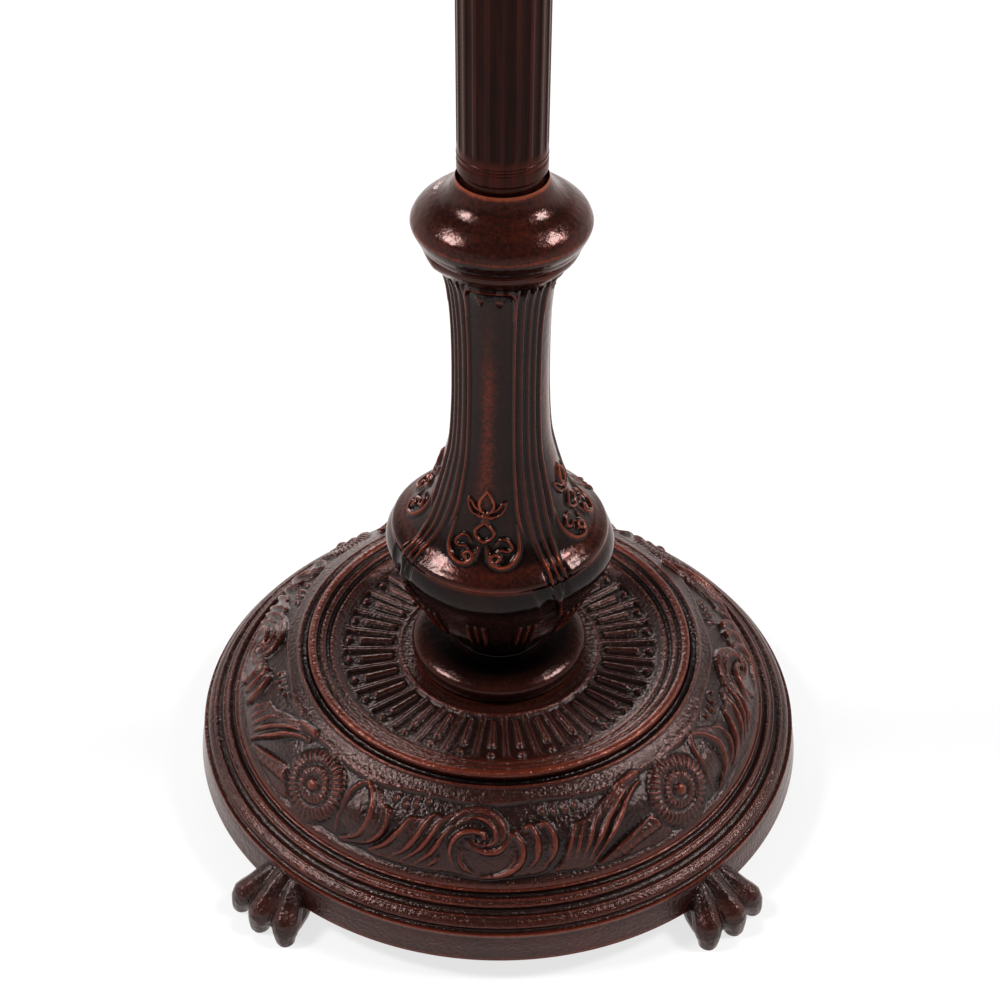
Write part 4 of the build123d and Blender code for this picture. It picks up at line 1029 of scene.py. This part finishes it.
# Knop, capital and cluster, lacquered castings on the column: the gadrooned knop between the
# tubes, the leafed capital, and the cluster body that both lamp sockets screw into.
knop_z = 784.8
knop_h = 44.0
knop_side = [(19.8, 0.0), (20.3, 1.4), (20.3, 3.2), (19.6, 4.6), (17.8, 6.0), (16.9, 8.8), (18.0, 11.2),
             (21.6, 13.0), (25.4, 16.4), (27.0, 22.0)]
knop_side += [(r, knop_h - z) for r, z in knop_side[-2::-1]]
knop_line = along([(r, z + knop_z) for r, z in knop_side], 0.7)
spigot = unmarked((16.7, 828.8), (16.7, 838.8), (5.1, 838.8), (5.1, 774.8), (16.7, 774.8), (16.7, 784.8))


def knop_height(turned, z):
    """Twenty gadroons, parted by grooves across the knop's widest part."""
    return -0.9 * np.abs(np.sin(np.radians(turned * 10))) ** 3 * bump(z, knop_z + knop_h / 2, 9.0)


bm = spun([(r, z, z) for r, z in knop_line] + spigot, turns=320)
carve(bm, knop_height)
piece = shown(bm, "column_knop_turned", smooth_casting, "column_knop", crease=60)
worn_and_shaded(piece, passes=12)

capital_z = 1268.8
capital_side = [(19.8, 0.0), (20.3, 1.2), (20.3, 2.6), (19.6, 4.0), (17.8, 5.2), (17.0, 7.6), (18.6, 12.0),
                (22.4, 18.4), (27.0, 23.4), (29.0, 25.4), (29.0, 27.4), (27.2, 28.6), (20.0, 29.6),
                (17.0, 30.0)]
capital_line = along([(r, z + capital_z) for r, z in capital_side], 0.6)
capital_back = unmarked((5.1, 1298.8), (5.1, 1258.8), (16.7, 1258.8), (16.7, 1268.8))
bm = spun([(r, z, z) for r, z in capital_line] + capital_back, turns=320)


def capital_height(turned, z):
    """Eight upright leaves, each with a rib down its middle, that turn over at the lip."""
    off = np.abs(off_nearest(turned, 0, 45))
    share = np.clip((z - capital_z - 6) / 17, 0, 1)
    edge = np.exp(-((off - 20.5 * np.sqrt(np.clip(1 - (share - 0.35) ** 2, 0, 1))) / 1.6) ** 2)
    rib = np.exp(-(off / 1.6) ** 2)
    vein = np.exp(-((off - 9) / 1.5) ** 2)
    return (-0.8 * edge + 0.5 * rib - 0.25 * vein) * bump(z, capital_z + 15.5, 9.5) - 0.1


carve(bm, capital_height)
piece = shown(bm, "column_capital_leafed", smooth_casting, "column_capital", crease=60)
worn_and_shaded(piece, passes=12)
softened("cluster_body", smooth_casting, edge=1.0)

# Lamp sockets, two with medium screws: spun brass cap and shell, moulded switch block, rolled
# screw shell and sprung contact. Each pull chain leaves by a funnel in the shell's underside.
socket_z = 1317.8
shell_foot = 35.3
shell_mouth = 77.3
chain_x = 41.6
chain_top = 1308.5
chain_length = 112.0
bead_r = 1.5
bead_pitch = 4.0
pin_r = 0.5
bell_h = 17.0
thread_foot = 48.4
thread_length = 24.0
thread_r = 13.5
thread_pitch = 3.63
thread_depth = 0.28
socket_parts = (
    ("socket_cap_", antique_brass, 0.5),
    ("socket_nipple_", aged_brass, 0.2),
    ("chain_guide_", antique_brass, 0.2),
    ("switch_block_", moulded_black, 0.5),
    ("centre_contact_", aged_brass, 0.15),
)


def laid(bm, side):
    """Lays a turned piece, made standing on +Z, out along the sockets' line on one side."""
    turn = Matrix.Translation((0, 0, socket_z)) @ Matrix.Rotation(radians(90 * side), 4, "Y")
    bmesh.ops.transform(bm, matrix=turn, verts=bm.verts)
    return bm


for side, name in ((1, "right"), (-1, "left")):
    shell_path = [(17.0, shell_foot), (17.5, shell_foot + 0.8), (17.6, 39.0), (17.6, 44.0), (17.1, 45.0),
                  (17.1, 45.6), (17.6, 46.6), (17.6, 70.4), (17.1, 71.4), (17.1, 72.0), (17.6, 73.0),
                  (17.6, 75.8), (17.6, 76.8), (17.2, shell_mouth)]
    shell_line = along(shell_path, 0.5, smooth=False)
    bm = spun(unmarked(*shell_line, (16.7, 77.0), (16.7, 46.0), (16.7, 35.4)), turns=128)
    shown(laid(bm, side), "socket_shell_spun_" + name, antique_brass, "socket_shell_" + name, crease=50)
    outside = [(thread_r + 0.3, thread_foot + x) for x in np.arange(0, thread_length + 0.01, 0.4)]
    inside = [(thread_r - 0.3, thread_foot + x) for x in np.arange(thread_length, -0.01, -0.4)]
    bm = spun(unmarked(*outside, *inside), turns=96)
    for vert in bm.verts:
        phase = 2 * pi * vert.co.z / thread_pitch - np.arctan2(vert.co.y, vert.co.x)
        vert.co.xy *= 1 + thread_depth * cos(phase) / thread_r
    shown(laid(bm, side), "screw_shell_rolled_" + name, aged_brass, "screw_shell_" + name, crease=70)
    for node, finish, edge in socket_parts:
        softened(node + name, finish, edge)

    # Ball chain, made as rolled brass balls on short pins, and the bell at its end.
    body = "pull_" + name
    bm = bmesh.new()
    for number in range(int(chain_length / bead_pitch)):
        z = chain_top - bead_r - number * bead_pitch
        ball = Matrix.Translation((side * chain_x, 0, z))
        bmesh.ops.create_icosphere(bm, subdivisions=2, radius=bead_r, matrix=ball)
        pin = Matrix.Translation((side * chain_x, 0, z - bead_pitch / 2))
        bmesh.ops.create_cone(bm, cap_ends=True, segments=6, radius1=pin_r, radius2=pin_r,
                              depth=bead_pitch, matrix=pin)
    shown(bm, "ball_chain_" + name, antique_brass, "pull_chain_" + name, body=body, crease=40)
    bell_z = chain_top - chain_length - bell_h
    bell_path = [(0.0, bell_h), (1.7, 16.8), (2.0, 15.6), (1.5, 14.4), (1.5, 13.6), (2.0, 12.8),
                 (2.1, 11.0), (2.7, 7.0), (3.7, 3.6), (4.5, 1.9), (4.6, 0.9), (4.2, 0.2), (3.4, 0.0),
                 (0.0, 0.6)]
    bm = spun([(r, bell_z + z, -1) for r, z in along(bell_path, 0.4)], turns=64, closed=False)
    bmesh.ops.translate(bm, vec=(side * chain_x, 0, 0), verts=bm.verts)
    shown(bm, "chain_bell_turned_" + name, antique_brass, "chain_bell_" + name, body=body, crease=60)

# Leaded glass dome: ninety-six flat panes of rolled opalescent glass in six rows, held by soldered
# lead with a dark patina. Each pane is cut from another place in the sheet, so its tone differs.
shade_sides = 16
shade_rows = 6
shade_r = 228.6
crown_r = 38.0
shade_z = 1263.8
shade_h = 191.0
joint_r = 3.1
joint_sunk = 1.3
joint_rise = 0.34
ripple_mm = 15
ripple_depth = 0.7


def opalescent_glass(name, deep, mid, milk, streak_mm):
    """Rolled art glass: a milky body streaked with colour, a rippled and shiny face."""
    material, tree, output, place = new_finish(name)
    tint = add(tree, "Attribute", out="Fac", attribute_name="tint")
    lean = add(tree, "CombineXYZ", {"X": tint, "Y": tint, "Z": tint})
    cut = {0: lean, 1: (0.9, 1.7, 1.3), 2: place}
    cut = add(tree, "VectorMath", cut, operation="MULTIPLY_ADD")
    drawn = {"Vector": cut, "Rotation": (0.5, 0.3, 0.0), "Scale": (1.0, 1.0, 2.6)}
    drawn = add(tree, "Mapping", drawn)
    swirl = {"Vector": drawn, "Scale": metre / (streak_mm * 2.2), "Detail": 4.0, "Roughness": 0.55,
             "Distortion": 1.4}
    swirl = add(tree, "TexNoise", swirl)
    mottle = {"Vector": cut, "Scale": metre / (streak_mm * 0.45), "Detail": 4.0, "Roughness": 0.6,
              "Distortion": 0.5}
    mottle = add(tree, "TexNoise", mottle)
    level = swirl
    for layer, share in ((tint, 0.16), (mottle, 0.30)):
        level = add(tree, "Math", {0: layer, 1: share, 2: level}, operation="MULTIPLY_ADD")
    level = add(tree, "Math", {0: level, 1: 0.15}, operation="SUBTRACT")
    body = add(tree, "ValToRGB", {"Fac": level}, stops=((0.34, deep), (0.5, mid), (0.68, milk)))
    ripple = {"Vector": drawn, "Scale": metre / ripple_mm, "Detail": 2.0, "Roughness": 0.4,
              "Distortion": 0.8}
    ripple = add(tree, "TexNoise", ripple)
    face = {"Height": ripple, "Distance": ripple_depth * mm, "Strength": 1.0}
    face = add(tree, "Bump", face)
    skin = {"Base Color": body, "Roughness": 0.16, "Normal": face, "Transmission Weight": 0.2, "IOR": 1.5}
    tree.links.new(add(tree, "BsdfPrincipled", skin), output.inputs[0])
    return material


green_glass = opalescent_glass("rolled_green_opalescent_glass",
                               "#26402a", "#5d7a45", "#a9b27a", streak_mm=26)
amber_glass = opalescent_glass("rolled_amber_opalescent_glass",
                               "#8a4a1c", "#c08240", "#e4c48c", streak_mm=30)
cream_glass = opalescent_glass("rolled_cream_opalescent_glass",
                               "#b08a55", "#d9c191", "#efe3c6", streak_mm=34)
pane_rows = (("apron", green_glass), ("lower", amber_glass), ("middle", cream_glass),
             ("upper", cream_glass), ("shoulder", amber_glass), ("crown", green_glass))
for row, (name, glass) in enumerate(pane_rows):
    panes = softened("glass_" + name, glass, edge=0.5, name="panes_" + name, body="shade")
    place = np.empty(len(panes.data.vertices) * 3, np.float32)
    panes.data.vertices.foreach_get("co", place)
    turned = np.degrees(np.arctan2(place[1::3], place[0::3]))
    pane_number = np.round(turned / (360 / shade_sides)) % shade_sides
    scattered = np.sin(pane_number * 12.9898 + row * 78.233) * 43.7
    stored(panes.data, "tint", scattered % 1 - 0.5)

# Patinated solder is a dull dark grey, with brighter places where it has been handled.
soldered_lead = metal("soldered_lead_dark_patina", "#5d534c", "#2b2522",
                      roughness=0.42, patch_mm=16, relief_mm=0.35, metallic=0.9)
softened("shade_leading", soldered_lead, edge=1.3, name="leading_lattice", body="shade")
softened("shade_rim", soldered_lead, edge=1.1, name="rim_soldered", body="shade")

# Solder puddles where the leads meet, standing a little proud as the iron leaves them.
bm = bmesh.new()
for ring in range(1, shade_rows):
    rise = pi / 2 * ring / shade_rows
    ring_r = crown_r + (shade_r - crown_r) * cos(rise)
    outward = Vector((shade_h * cos(rise), 0, (shade_r - crown_r) * sin(rise))).normalized()
    for side in range(shade_sides):
        turned = 2 * pi * (side + 0.5) / shade_sides
        place = Vector((ring_r, 0, shade_z + shade_h * sin(rise))) - outward * joint_sunk
        facing = Matrix.Rotation(turned, 4, "Z") @ Matrix.Translation(place)
        lie = outward.to_track_quat("Z", "Y").to_matrix().to_4x4() @ Matrix.Diagonal((1, 1, joint_rise, 1))
        bmesh.ops.create_icosphere(bm, subdivisions=2, radius=joint_r, matrix=facing @ lie)
shown(bm, "solder_joints", soldered_lead, body="shade", crease=60)

# Crown ring, bearer, riser, heat cap and finial. The dome's brass ring rests on the bearer's three
# arms. The pierced cap and the turned finial close the top and clamp the dome on the riser.
softened("crown_ring", antique_brass, edge=0.4, body="shade")
softened("shade_bearer", antique_brass, edge=0.4)
softened("riser_pipe", aged_brass, edge=0.3)
softened("heat_cap", smooth_casting, edge=0.5, body="shade")
finial_z = 1473.8
finial_path = [(4.85, 0.0), (9.4, 0.0), (10.4, 0.8), (10.4, 2.4), (9.6, 3.6), (7.6, 5.0), (7.0, 8.0),
               (7.2, 11.0), (8.6, 12.6), (8.6, 13.8), (7.6, 15.0), (9.2, 18.0), (12.2, 22.6), (13.0, 26.6),
               (12.2, 32.0), (9.6, 38.0), (6.2, 43.4), (4.4, 47.2), (4.1, 49.6), (5.2, 51.2), (5.2, 52.6),
               (4.0, 54.0), (3.9, 56.6), (3.0, 59.4), (1.4, 61.4), (0.0, 62.0)]
finial_line = [(r, finial_z + z, z) for r, z in along(finial_path, 0.5)]
finial_bore = unmarked((0.0, finial_z + 22.3), (4.85, finial_z + 22.3))
bm = spun(finial_bore + finial_line, turns=192, closed=False)
carve(bm, lambda turned, z: -0.6 * np.abs(np.sin(np.radians(turned * 5))) ** 4 * bump(z, 28.5, 11.5))
piece = shown(bm, "finial_turned", smooth_casting, "finial", body="finial_knob", crease=60)
worn_and_shaded(piece, passes=8)
